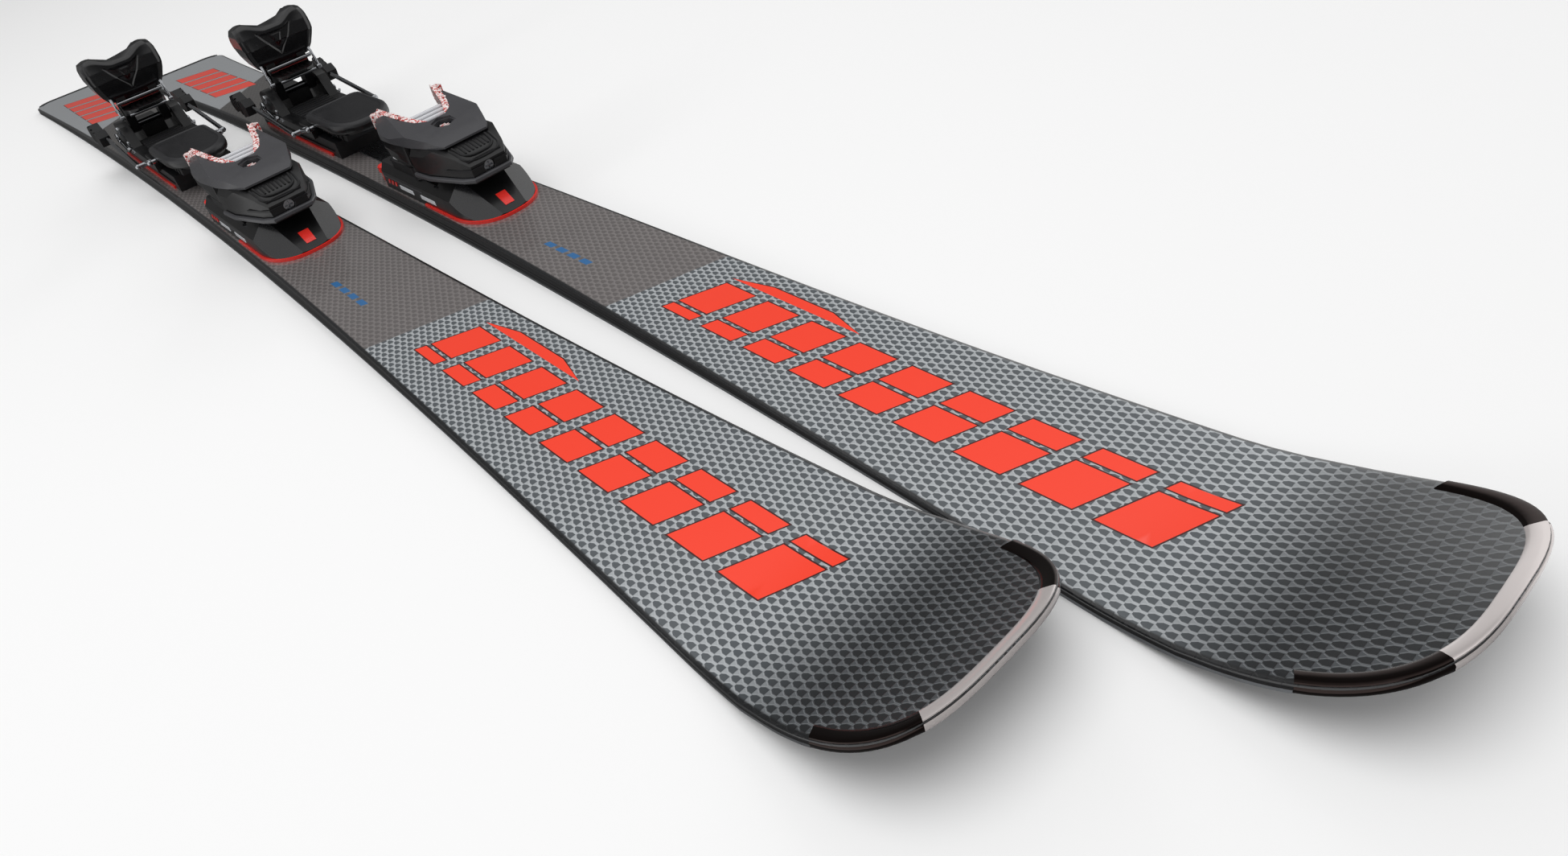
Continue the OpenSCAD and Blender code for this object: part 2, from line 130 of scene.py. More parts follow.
def outline_side(margin, steps=110):
    """One side of the plan from the tail's middle to the tip's middle, moved in by a margin."""
    corner_y = half_width(TAIL_R) - TAIL_R
    points = [(margin, 0.0), (margin, corner_y - 12)]
    for i in range(9):
        a = math.radians(180 - 90 * i / 8)
        reach = TAIL_R - margin
        points.append((TAIL_R + reach * math.cos(a), corner_y + reach * math.sin(a)))
    for i in range(1, steps):
        x = TAIL_R + (WIDEST_X - TAIL_R) * i / steps
        points.append((x, half_width(x) - margin))
    for i in range(25):
        a = math.radians(90 * i / 24)
        points.append((
            WIDEST_X + (SKI_L - WIDEST_X - margin) * math.sin(a) ** (2 / TIP_POWER),
            (TIP_W / 2 - margin) * max(math.cos(a), 0.0) ** (2 / TIP_POWER),
        ))
    points[-1] = (SKI_L - margin, 0.0)
    return points


def outline(margin, steps=110):
    """The whole plan as a closed ring, running from the tail along the left side to the tip and back."""
    side = outline_side(margin, steps)
    return side + [(x, -y) for x, y in side[-2:0:-1]]


# ---- mesh and object helpers
def mesh_from(name, points, faces, origin=(0, 0, 0), sharp=None, kinds=None, up=False):
    """A mesh in the ski's own space.

    Edges sharper than the given angle stay sharp, kinds gives each face's material, and up says
    that the mesh is an open skin that faces upward."""
    mesh = bpy.data.meshes.new(name)
    shift = Vector(origin)
    work = bmesh.new()
    corners = [work.verts.new((Vector(p) + shift) * MM) for p in points]
    for i, face in enumerate(faces):
        if len(set(face)) == len(face):
            made = work.faces.new([corners[k] for k in face])
            made.material_index = kinds[i] if kinds else 0
    bmesh.ops.remove_doubles(work, verts=work.verts, dist=0.002 * MM)
    bmesh.ops.recalc_face_normals(work, faces=work.faces)
    if up and sum(face.normal.z * face.calc_area() for face in work.faces) < 0:
        bmesh.ops.reverse_faces(work, faces=work.faces)
    work.to_mesh(mesh)
    work.free()
    mesh.polygons.foreach_set("use_smooth", [True] * len(mesh.polygons))
    if sharp is not None:
        mesh.set_sharp_from_angle(angle=math.radians(sharp))
    return mesh


def put(name, mesh, body, nodes, paints, bevel=0.0):
    """Places a piece on both skis, on its body, standing for its CAD nodes."""
    for paint in paints:
        mesh.materials.append(paint)
    for side in SIDES:
        thing = bpy.data.objects.new(f"{side}_{name}", mesh)
        bpy.context.collection.objects.link(thing)
        thing.location = PLACES[side]
        if bevel:
            soften(thing, bevel)
        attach(thing, f"{side}_{body}")
        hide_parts(*[f"{side}_{node}" for node in nodes])


def piece(name, shape, origin, body, paint, nodes=(), bevel=0.0, sharp=None):
    """A piece of one finish on both skis, from points and faces measured from an origin."""
    put(name, mesh_from(name, *shape, origin=origin, sharp=sharp), body, nodes, [paint], bevel)


def soften(thing, width):
    """Rounds the hard edges of an object."""
    modifier = thing.modifiers.new("round", "BEVEL")
    modifier.width = width * MM
    modifier.segments = 3
    modifier.limit_method = "ANGLE"
    modifier.angle_limit = math.radians(24)
    modifier.harden_normals = True
    modifier.use_clamp_overlap = True


def rectangle(x0, x1, y0, y1):
    return [(x0, y0), (x1, y0), (x1, y1), (x0, y1)]


def mirrored(half, on_axis=False):
    """A closed outline from its half at positive Y. The last point isn't repeated if it is on the axis."""
    other = half[:-1] if on_axis else half
    return list(half) + [(x, -y) for x, y in reversed(other)]


def mirrored_front(half):
    """The outline across the ski whose left half is given from the bottom to the top."""
    return list(half) + [(-y, z) for y, z in reversed(half)]


def drawn(plane, shape, low, high):
    """A solid with an outline in one plane: side is X and Z, plan is X and Y, front is Y and Z."""
    first, second, third = {"side": (0, 2, 1), "plan": (0, 1, 2), "front": (1, 2, 0)}[plane]
    points = []
    for reach in (low, high):
        for a, b in shape:
            point = [0.0, 0.0, 0.0]
            point[first], point[second], point[third] = a, b, reach
            points.append(point)
    count = len(shape)
    faces = [tuple(range(count)), tuple(range(count, 2 * count))]
    faces += [(i, (i + 1) % count, (i + 1) % count + count, i + count) for i in range(count)]
    return points, faces


def circle(centre, aside, other, radius, sides):
    """A ring of points in the plane of two directions."""
    return [centre + (aside * math.cos(a) + other * math.sin(a)) * radius
            for a in (2 * math.pi * k / sides for k in range(sides))]


def turned(centre, axis, profile, sides=28):
    """A turned solid round an axis: the profile gives pairs of distance along it and radius."""
    axis = Vector(axis).normalized()
    aside = axis.orthogonal().normalized()
    other = axis.cross(aside)
    return ring_loft([circle(Vector(centre) + axis * reach, aside, other, radius, sides)
                      for reach, radius in profile])


def bolt(centre, axis, radius, height):
    """A fastener's end with a rounded rim."""
    rim = min(radius, height) * 0.3
    slip = rim * 0.3
    profile = ((0, radius), (height - rim, radius), (height - slip, radius - slip), (height, radius - rim))
    return turned(centre, axis, profile)


def tube(path, radius, sides=10):
    """A round bar along a path of points."""
    path = [Vector(p) for p in path]
    rings = []
    for i, point in enumerate(path):
        ahead = path[min(i + 1, len(path) - 1)] - path[max(i - 1, 0)]
        ahead.normalize()
        aside = ahead.cross(Vector((0, 0, 1)) if abs(ahead.z) < 0.9 else Vector((0, 1, 0))).normalized()
        rings.append(circle(point, aside, ahead.cross(aside), radius, sides))
    return ring_loft(rings)


def both(shape):
    """A solid and its mirror image across the ski."""
    points, faces = shape
    return merged(shape, ([(p[0], -p[1], p[2]) for p in points], [tuple(reversed(f)) for f in faces]))


def merged(*shapes):
    """Several solids as one shape."""
    points, faces = [], []
    for more, more_faces in shapes:
        shift = len(points)
        points += [tuple(p) for p in more]
        faces += [tuple(k + shift for k in face) for face in more_faces]
    return points, faces


def carve(first, *steps):
    """Applies exact booleans to a solid. Each step is an operation and another solid."""
    def temporary(shape):
        mesh = mesh_from("temporary", *shape)
        thing = bpy.data.objects.new("temporary", mesh)
        bpy.context.collection.objects.link(thing)
        return thing

    things = [temporary(first)]
    for operation, shape in steps:
        things.append(temporary(shape))
        modifier = things[0].modifiers.new("carve", "BOOLEAN")
        modifier.operation = operation
        modifier.object = things[-1]
        modifier.solver = "EXACT"
    bpy.context.view_layer.update()
    result = things[0].evaluated_get(bpy.context.evaluated_depsgraph_get()).to_mesh()
    points = [v.co / MM for v in result.vertices]
    faces = [tuple(p.vertices) for p in result.polygons]
    for thing in things:
        mesh = thing.data
        bpy.data.objects.remove(thing)
        bpy.data.meshes.remove(mesh)
    return points, faces


def cad_shape(node):
    """The right ski's CAD node as points and faces in the ski's own space, its flat faces made whole."""
    work = bmesh.new()
    work.from_mesh(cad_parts[f"right_{node}"].data)
    bmesh.ops.remove_doubles(work, verts=work.verts, dist=0.01 * MM)
    bmesh.ops.dissolve_limit(work, angle_limit=math.radians(1.5), verts=work.verts, edges=work.edges)
    points = [(v.co - PLACES["right"]) / MM for v in work.verts]
    faces = [tuple(v.index for v in f.verts) for f in work.faces]
    work.free()
    return points, faces


def dressed(node, body, paint, bevel):
    """The CAD node's own shape with its edges rounded and a detailed finish."""
    put(f"{node}_shape", mesh_from(node, *cad_shape(node)), body, [node], [paint], bevel)


def coat_node(node, paint):
    """A detailed finish on a CAD node that stays as it is, on both skis."""
    for side in SIDES:
        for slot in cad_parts[f"{side}_{node}"].material_slots:
            slot.material = paint


def ring_loft(rings, cap=True):
    """Points and faces of a skin through rings that all have the same number of points."""
    count = len(rings[0])
    points = [p for ring in rings for p in ring]
    faces = []
    for i in range(len(rings) - 1):
        here, ahead = i * count, (i + 1) * count
        for k in range(count):
            n = (k + 1) % count
            faces.append((here + k, here + n, ahead + n, ahead + k))
    if cap:
        faces.append(tuple(range(count - 1, -1, -1)))
        faces.append(tuple((len(rings) - 1) * count + k for k in range(count)))
    return points, faces


# ---- shader helpers
def added(tree, kind, inputs, **settings):
    """A shader node with its settings made and each of its inputs linked or set."""
    node = tree.nodes.new(f"ShaderNode{kind}")
    for name, value in settings.items():
        setattr(node, name, value)
    for name, value in inputs.items():
        value = value.socket if isinstance(value, Field) else value
        if isinstance(value, bpy.types.NodeSocket):
            tree.links.new(value, node.inputs[name])
        else:
            node.inputs[name].default_value = value
    return node


def math_method(operation):
    """A method that puts one math node behind a field."""
    return lambda field, *others: field.joined(operation, *others)


class Field:
    """A number that varies over a surface, written as ordinary arithmetic and built as math nodes."""

    def __init__(self, tree, socket):
        self.tree = tree
        self.socket = socket

    def joined(self, operation, *others):
        node = added(self.tree, "Math", dict(enumerate((self, *others))), operation=operation)
        return Field(self.tree, node.outputs[0])

    __add__ = math_method("ADD")
    __sub__ = math_method("SUBTRACT")
    __mul__ = math_method("MULTIPLY")
    __truediv__ = math_method("DIVIDE")
    power = math_method("POWER")
    least = math_method("MINIMUM")
    most = math_method("MAXIMUM")
    part = math_method("FRACT")
    whole = math_method("FLOOR")
    size = math_method("ABSOLUTE")
    wave = math_method("SINE")

    def step(self, low, high):
        """0 below low, 1 above high, smooth between."""
        inputs = {"Value": self, "From Min": low, "From Max": high}
        node = added(self.tree, "MapRange", inputs, interpolation_type="SMOOTHSTEP")
        return Field(self.tree, node.outputs["Result"])


class Paint:
    """A Principled material with helpers for procedural detail in the piece's own millimetres."""

    def __init__(self, name, color, rough, metal=0.0, coat=0.0, coat_rough=0.05, specular=0.5):
        self.material = bpy.data.materials.new(name)
        self.material.use_nodes = True
        self.tree = self.material.node_tree
        self.shader = self.tree.nodes["Principled BSDF"]
        self.axes = None
        for socket, value in (
            ("Base Color", (*srgb(color), 1.0)), ("Roughness", rough), ("Metallic", metal),
            ("Coat Weight", coat), ("Coat Roughness", coat_rough), ("Specular IOR Level", specular),
        ):
            self.shader.inputs[socket].default_value = value

    def feed(self, name, value):
        self.tree.links.new(value.socket if isinstance(value, Field) else value, self.shader.inputs[name])

    def place(self):
        """X, Y and Z of the surface point in the ski's own millimetres."""
        if self.axes is None:
            self.spot = added(self.tree, "TexCoord", {}).outputs["Object"]
            split = added(self.tree, "SeparateXYZ", {0: self.spot})
            self.axes = tuple(Field(self.tree, axis) * (1 / MM) for axis in split.outputs)
        return self.axes

    def noise(self, size_mm, detail, stretch=(1, 1, 1)):
        """Clouds of a size in millimetres, drawn out where the stretch along an axis is below 1."""
        self.place()
        scale = tuple(s / (size_mm * MM) for s in stretch)
        spot = added(self.tree, "Mapping", {"Vector": self.spot, "Scale": scale}).outputs[0]
        node = added(self.tree, "TexNoise", {"Vector": spot, "Scale": 1.0, "Detail": detail})
        return Field(self.tree, node.outputs["Fac"])

    def blend(self, factor, a, b):
        """Colour a where factor is 0 and b where it is 1. A colour is a hex string or a socket."""
        a, b = ((*srgb(c), 1.0) if isinstance(c, str) else c for c in (a, b))
        return added(self.tree, "Mix", {0: factor, 6: a, 7: b}, data_type="RGBA").outputs[2]

    def bump(self, height, depth_mm, strength):
        inputs = {"Strength": strength, "Distance": depth_mm * MM, "Height": height}
        self.feed("Normal", added(self.tree, "Bump", inputs).outputs[0])


def srgb(code):
    """A hex colour as linear red, green and blue."""
    values = [int(code[i : i + 2], 16) / 255 for i in (1, 3, 5)]
    return tuple(v / 12.92 if v <= 0.04045 else ((v + 0.055) / 1.055) ** 2.4 for v in values)


# ---- print on the deck
ROLL = 4.5  # width of the deck's rounded shoulder
LOWER = 1.3  # how far that shoulder drops
SLANT = 0.42  # lean of the printed shapes
BLOCKS, BLOCKS_X, BLOCK_PITCH, BLOCK_W, BLOCK_HALF = 9, 1204.0, 41.0, 29.0, 21.0
GAP_HALF, GAP_RISE = 1.8, 12.0  # the gap through the blocks, and how far it rises and falls
TAIL_BARS, TAIL_BARS_X, TAIL_BAR_PITCH, TAIL_BAR_W = 5, 76.0, 39, 31
DASHES, DASHES_X, DASHES_Y, DASH_PITCH, DASH_W, DASH_HALF = 4, 1042.0, -16.0, 16, 11, 2.5
OUTLINE = 0.9  # dark line round the red shapes
CELL_L, CELL_W = 5.4, 5.0  # pitch of the pressed relief
SHOVEL_X, SHOVEL_LEAN = 1173, 0.317  # where the shovel print begins on the middle line, and its lean
TAIL_X, TAIL_LEAN = 280, 0.9  # the same for the tail print
REAR_X, REAR_BLEND = 560, 60
# where the painted dark reflection across the tip's upturn begins and where it is full
PAINTED_DARK_TIP_X = (1560, 1625)
PLAIN, RED_FACE, RED_LINE, BLUE_FACE = range(4)  # the deck's materials
LAYERS = (PLAIN, RED_LINE, RED_FACE, BLUE_FACE)  # from the lowest print to the topmost


def slanted(points, x0, y0=0.0):
    return [(x0 + x + SLANT * y, y0 + y) for x, y in points]


def grown(points, margin):
    """The polygon with every side moved outward."""
    area = sum(a[0] * b[1] - b[0] * a[1] for a, b in zip(points, points[1:] + points[:1]))
    turn = 1.0 if area > 0 else -1.0
    result = []
    for before, here, after in zip(points[-1:] + points[:-1], points, points[1:] + points[:1]):
        first = Vector((here[0] - before[0], here[1] - before[1])).normalized()
        second = Vector((after[0] - here[0], after[1] - here[1])).normalized()
        normals = [Vector((d.y, -d.x)) * turn for d in (first, second)]
        total = normals[0] + normals[1]
        reach = min(margin / max(total.length_squared / 2, 0.25), margin * 2.5)
        result.append((here[0] + total.x * reach, here[1] + total.y * reach))
    return result


def refined(points, step=9.0):
    """The polygon with its long sides cut into short ones, so that it can follow a curve."""
    result = []
    for a, b in zip(points, points[1:] + points[:1]):
        pieces = max(1, int(math.dist(a, b) / step))
        result += [(a[0] + (b[0] - a[0]) * i / pieces, a[1] + (b[1] - a[1]) * i / pieces)
                   for i in range(pieces)]
    return result


def red_shapes():
    """Slanted blocks with a rising gap through them, a flat sliver beside them, and bars on the tail."""
    shapes = []
    for i in range(BLOCKS):
        split = -GAP_RISE + 2 * GAP_RISE * i / (BLOCKS - 1)
        for low, high in ((-BLOCK_HALF, split - GAP_HALF), (split + GAP_HALF, BLOCK_HALF)):
            shapes.append(slanted(rectangle(0, BLOCK_W, low, high), BLOCKS_X + BLOCK_PITCH * i))
    shapes.append([(1212.0, 27.0), (1330.0, 27.0), (1300.0, 34.5), (1246.0, 34.5)])
    for i in range(TAIL_BARS):
        shapes.append(slanted(rectangle(0, TAIL_BAR_W, -26, 21), TAIL_BARS_X + TAIL_BAR_PITCH * i))
    return shapes


def blue_marks():
    dash = rectangle(0, DASH_W, -DASH_HALF, DASH_HALF)
    return [slanted(dash, DASHES_X + DASH_PITCH * i, DASHES_Y) for i in range(DASHES)]


def deck_mesh():
    """The deck as one skin: each printed shape is cut into it, and a shoulder rolls over its rim."""
    ring = outline(ROLL)
    points = [Vector(p) for p in ring]
    faces = [list(range(len(ring)))]
    kinds = [PLAIN]
    prints = []
    for shape in red_shapes():
        prints += [(refined(grown(shape, OUTLINE)), RED_LINE), (refined(shape), RED_FACE)]
    prints += [(shape, BLUE_FACE) for shape in blue_marks()]
    for polygon, kind in prints:
        faces.append(list(range(len(points), len(points) + len(polygon))))
        points += [Vector(p) for p in polygon]
        kinds.append(kind)
    grid = 14.0
    x = grid
    while x < SKI_L - grid:
        span = half_width(x) if x < WIDEST_X else end_half_width(x)
        for k in range(-5, 6):
            points.append(Vector((x, k / 5.6 * (span - ROLL))))
        x += grid / 2 if x > RISE_X - 30 else grid
    found, _, triangles, _, _, origins = delaunay_2d_cdt(points, [], faces, 1, 1e-4)
    corners = [(p.x, p.y, deck_z(p.x)) for p in found]
    rings = [[(x, y, deck_z(x)) for x, y in ring]]
    for i in range(1, 6):
        a = math.radians(90 * i / 5)
        edge = outline(ROLL * (1 - math.sin(a)))
        rings.append([(x, y, deck_z(x) - LOWER * (1 - math.cos(a))) for x, y in edge])
    rings.append([(x, y, deck_z(x) - LOWER - 0.6) for x, y in outline(0.0)])
    skirt, skirt_faces = ring_loft(rings, cap=False)
    shift = len(corners)
    all_faces = [tuple(t) for t in triangles] + [tuple(k + shift for k in f) for f in skirt_faces]
    colours = [max((kinds[o] for o in origin), key=LAYERS.index, default=PLAIN) for origin in origins]
    return mesh_from("deck", corners + skirt, all_faces, kinds=colours + [PLAIN] * len(skirt_faces), up=True)


def deck_paint():
    """Lacquered print over a pressed relief of staggered five-sided cells, with a painted dark reflection
    across the tip's upturn and painted highlights along the cells' tail-side edges.
    """
    paint = Paint("deck_print", "#6d7174", 0.34, coat=1.0, coat_rough=0.06)
    x, y, _ = paint.place()
    u = x / CELL_L
    column = u.whole()
    along = u.part() - 0.5
    across = (y / CELL_W + column * 0.5).part() - 0.5
    side = across.size()
    # a dark cell: blunt towards the tip, pointed towards the tail
    wall = (along * 0.62 + 0.43).least(0.36)
    cell = (wall - side).step(0.0, 0.05) * (along * -1 + 0.42).step(0.0, 0.06)
    # a painted highlight: a thin pale line round each cell's pointed end, on its tail side
    painted_glint_at = (wall + 0.085 - side).size()
    line = (painted_glint_at * -1 + 0.05).step(0.0, 0.04)
    shade = paint.noise(46, 2.0)
    shovel = (x - y * SHOVEL_LEAN - SHOVEL_X).step(-0.6, 0.6)
    tail = (x + y * TAIL_LEAN - TAIL_X).step(-0.6, 0.6)
    rear = (x - REAR_X).step(-REAR_BLEND, REAR_BLEND)
    # painted dark reflection: the print darkens across the tip's upturn
    painted_dark_tip = x.step(*PAINTED_DARK_TIP_X)
    body = paint.blend(cell, "#a6aaad", "#54595d")
    # painted highlight along the cells' tail-side edges
    body = paint.blend(line, body, "#bec2c5")
    # darker copies of the print's colours, for the painted dark reflection on the tip
    tip = paint.blend(cell, "#45484b", "#1c1e20")
    # painted glints along the same edges on the dark tip, broken up by the clouds
    tip = paint.blend(line * (shade * 0.9), tip, "#84888b")
    front = paint.blend(painted_dark_tip, body, tip)
    middle = paint.blend(cell * 0.55 + shade * 0.2, "#7c7776", "#524e4d")
    # a fainter painted highlight on the same edges in the middle
    middle = paint.blend(line * 0.35, middle, "#908b89")
    back = paint.blend(cell * 0.6 + shade * 0.2, "#524f4d", "#373534")
    middle = paint.blend(rear, back, middle)
    middle = paint.blend(tail, "#a4a7aa", middle)
    colour = paint.blend(shovel, middle, front)
    # the shoulder is left dark
    edge = (shoulder_distance(paint) - 2.2).step(-0.5, 0.9)
    paint.feed("Base Color", paint.blend(edge, "#141517", colour))
    relief = (cell * -1 + 1) * 0.75 + line * 0.25
    paint.bump(relief * (shovel * 0.5 + 0.5), 0.3, 0.8)
    return paint.material


def shoulder_distance(paint):
    """Roughly how far a deck point is from the ski's side, in millimetres."""
    x, y, _ = paint.place()
    ahead = ((x - WAIST_X) / (WIDEST_X - WAIST_X)).most(0.0)
    behind = ((x * -1 + WAIST_X) / (WAIST_X - TAIL_WIDEST_X)).most(0.0)
    width = ahead * ahead * ((TIP_W - WAIST_W) / 2) + behind * behind * ((TAIL_W - WAIST_W) / 2)
    round_end = ((x - WIDEST_X) / (SKI_L - WIDEST_X)).most(0.0).least(1.0)
    full = (width + WAIST_W / 2).least(TIP_W / 2)
    tip = (round_end.power(TIP_POWER) * -1 + 1).most(0.0).power(1 / TIP_POWER)
    return full * tip - y.size()


def print_paint(name, colour):
    """Smooth screen print under the deck's lacquer."""
    paint = Paint(name, colour, 0.3, coat=1.0, coat_rough=0.06)
    paint.bump(paint.noise(0.9, 3.0), 0.02, 0.5)
    return paint.material


# ---- sides, edges and guards
def sidewall_mesh():
    """Both black sides with their fine grooves, from the tail guard to the tip guard."""
    profile = ((0.0, 0.0), (0.0, 0.20), (0.45, 0.235), (0.0, 0.27), (0.0, 0.46), (0.45, 0.50), (0.0, 0.54),
               (0.0, 0.86), (0.35, 1.0), (5.0, 1.0), (5.0, 0.0))
    path = [p for p in outline_side(0.0, 150) if 13 < p[0] < SKI_L - GUARD_L + 3 and p[1] > 30]
    walls = []
    for turn in (1, -1):
        rings = []
        for x, y in path:
            low, high = base_z(x) + 2.0, deck_z(x) - LOWER - 0.1
            rings.append([(x, turn * (y - inset), low + (high - low) * share) for inset, share in profile])
        walls.append(ring_loft(rings))
    return mesh_from("sidewalls", *merged(*walls), sharp=20)


def guard_mesh(name, keep, corner_y):
    """A metal or plastic guard round one end, with a lip over the deck and a groove below the lip.

    Faces nearer the middle than corner_y get the first material, the rest the second, and the
    groove the third."""
    def profile(height, inset):
        return [
            (2.2, 0.0), (0.3 + inset, 0.0), (-0.4 + inset, 0.5), (-0.8 + inset, 1.4), (-0.8 + inset, 3.5),
            (-0.5 + inset, 4.2), (0.35, 4.5), (0.6, 4.7), (0.6, 5.3), (0.35, 5.6), (0.5, height + 0.3),
            (1.3, height + 0.75), (2.6, height + 0.8), (5.4, height + 0.75), (6.5, height + 0.4),
            (7.0, height - 0.2), (7.0, 2.0), (2.2, 2.0),
        ]

    middle = outline(0.0)
    chosen = [i for i, p in enumerate(middle) if keep(p[0])]
    jump = next((k for k in range(1, len(chosen)) if chosen[k] != chosen[k - 1] + 1), 0)
    chosen = chosen[jump:] + chosen[:jump]
    outlines = {}
    rings, kinds = [], []
    groove = range(6, 9)
    for i in chosen:
        outside = abs(middle[i][1]) > corner_y
        ring = []
        for margin, z in profile(thickness(middle[i][0]), 0.45 if outside else 0.0):
            if margin not in outlines:
                outlines[margin] = outline(margin)
            x, y = outlines[margin][i]
            ring.append((x, y, base_z(x) + z))
        rings.append(ring)
    count = len(rings[0])
    points, faces = ring_loft(rings)
    for i in range(len(rings) - 1):
        # on the tip guard the ends get the darker metal, a painted dark reflection
        dark = abs(middle[chosen[i]][1]) > corner_y or abs(middle[chosen[i + 1]][1]) > corner_y
        for k in range(count):
            kinds.append(2 if k in groove else int(dark))
    return mesh_from(name, points, faces, sharp=35, kinds=kinds + [1, 1])


# ---- finishes
def plastic(name, color, rough, coat=0.0, grain=0.05, worn="#6b6b6e"):
    """Moulded plastic: fine grain, uneven gloss and faint handling marks."""
    paint = Paint(name, color, rough, coat=coat, coat_rough=0.12)
    cloud = paint.noise(14, 3.0)
    marks = paint.noise(5, 4.0, (0.12, 1, 1)).step(0.62, 0.78)
    paint.feed("Base Color", paint.blend(marks * 0.10 + cloud * 0.05, color, worn))
    paint.feed("Roughness", cloud * 0.22 + marks * 0.1 + (rough - 0.11))
    paint.bump(paint.noise(0.45, 2.0), grain, 0.6)
    return paint.material


def steel(name, color, rough, stretch=(0.06, 1, 1)):
    """Drawn or ground steel with a directional grain."""
    paint = Paint(name, color, rough, metal=1.0)
    grain = paint.noise(0.8, 4.0, stretch)
    cloud = paint.noise(20, 2.0)
    paint.feed("Base Color", paint.blend(cloud * 0.35, color, "#8d8f94"))
    paint.feed("Roughness", grain * 0.18 + (rough - 0.07))
    paint.bump(grain, 0.03, 0.35)
    return paint.material


def chrome(name, color, rough, metal=1.0):
    """Plated metal with a slightly uneven gloss."""
    paint = Paint(name, color, rough, metal=metal)
    paint.feed("Roughness", paint.noise(9, 3.0) * 0.08 + rough * 0.5)
    paint.bump(paint.noise(12, 2.0), 0.05, 0.25)
    return paint.material


def glitter(name):
    """Pearl white moulding with pink and red flecks."""
    paint = Paint(name, "#e9dedd", 0.22, coat=0.7, coat_rough=0.08)
    flecks = paint.noise(2.6, 1.5)
    colour = paint.blend(flecks.step(0.46, 0.5), "#c9453f", "#f3dcd9")
    colour = paint.blend(paint.noise(1.7, 1.0).step(0.56, 0.6), colour, "#ffffff")
    colour = paint.blend(paint.noise(3.1, 1.0, (1, 1, 2)).step(0.66, 0.69), colour, "#5a3a38")
    paint.feed("Base Color", colour)
    paint.bump(flecks, 0.5, 0.5)
    return paint.material


def wood(name):
    """Long-grained laminated wood."""
    paint = Paint(name, "#b98f5f", 0.6)
    rings = (paint.noise(9, 3.0, (0.02, 1, 1)) * 40).wave() * 0.5 + 0.5
    paint.feed("Base Color", paint.blend(rings, "#a87c4c", "#cfa878"))
    paint.bump(rings, 0.05, 0.3)
    return paint.material


def running_base(name):
    """Sintered black base with a stone-ground structure along the ski."""
    paint = Paint(name, "#1b1c1f", 0.42)
    x, y, _ = paint.place()
    structure = ((y * 7.5 + (x * 0.01).wave() * 0.4).wave() * 0.5 + 0.5)
    cloud = paint.noise(60, 3.0, (0.15, 1, 1))
    paint.feed("Base Color", paint.blend(cloud * 0.5, "#17181b", "#3a3c42"))
    paint.feed("Roughness", cloud * 0.25 + 0.3)
    paint.bump(structure, 0.03, 0.5)
    return paint.material


BLACK = plastic("moulded_black", "#0a0a0b", 0.34, coat=0.25, worn="#4c4c4f")
GLOSS_BLACK = plastic("gloss_black", "#08080a", 0.22, coat=0.6, grain=0.02, worn="#3c3c40")
SATIN_BLACK = plastic("satin_black", "#0c0c0e", 0.42, grain=0.08, worn="#4c4c4f")
CHARCOAL = plastic("charcoal_cover", "#3c3c3f", 0.36, coat=0.3, grain=0.06, worn="#77777b")
# a slightly lighter, glossier copy of the black plastic for the nose's side facets: painted sheen
FACET_SHEEN_BLACK = plastic("facet_painted_sheen", "#151517", 0.26, coat=0.6, grain=0.04, worn="#505054")
PAD_DARK = plastic("pedal_pad", "#141416", 0.5, grain=0.12, worn="#47474b")
RIM_GREY = plastic("pedal_rim", "#232325", 0.38, grain=0.05)
RED = plastic("signal_red", "#e0261d", 0.3, coat=0.5, grain=0.02, worn="#ff7a68")
DARK_RED = plastic("dark_red", "#7a1512", 0.35, coat=0.3, grain=0.02)
WHITE = plastic("pad_white", "#dcdddf", 0.28, coat=0.3, grain=0.02, worn="#9a9a9c")
PEARL = plastic("rib_silver", "#d2d4d8", 0.2, coat=0.5, grain=0.03, worn="#e8eaec")
BRIGHT = chrome("bright_metal", "#e6dedc", 0.2, 0.55)
# painted dark reflection for the tip guard's ends
GUARD_DARK_REFLECTION = chrome("painted_dark_reflection", "#3b3230", 0.1)
WIRE = chrome("drawn_wire", "#b9bbbf", 0.14)
EDGE_STEEL = steel("edge_steel", "#a9acb0", 0.3)
STRIP_STEEL = steel("strip_steel", "#b9bcc0", 0.26)
SCREW_STEEL = steel("screw_steel", "#9fa2a7", 0.32, (1, 1, 1))
SPRING_STEEL = steel("spring_steel", "#83868c", 0.34, (1, 1, 1))
ALLOY = steel("turned_alloy", "#c6c8cc", 0.24, (1, 1, 1))
GROOVE = plastic("groove_dark", "#1a1615", 0.4)
SPARKLE = glitter("pearl_flecks")


# ---- toe piece, from the boot's toe
WIDE = 60  # further across than any part of a binding
PIN_HOLE = 3.05
COVER_LO, COVER_HI = 44.3, 66.0
WINDOW_X, WINDOW_R = 38.0, 9.0
HOUSING_LO, HOUSING_HALF = 17.0, 35.0
HOUSING_SLOPE = ((66, COVER_LO), (88, 38.5), (98, 31.5))
TOE_SCREW_Z = 26
RIB_X, RIB_PITCH, RIB_Z, RIB_STEP, RIB_R = 23.6, 5.6, 48.4, 1.35, 1.9
WING_LO, WING_HI = 20.5, 44
WING_PIN_X, WING_PIN_Y = 10, 24
PLATE_HALF, PLATE_HI, NOSE_X, NOSE_L = 35.0, 17, 70, 45
NOSE_Z = 3.2 - RISER  # top of the nose's front edge
TILE_X = 102.5


def hexagon(x, radius):
    return [(x + radius * math.cos(a), radius * math.sin(a)) for a in (math.pi / 3 * k for k in range(6))]


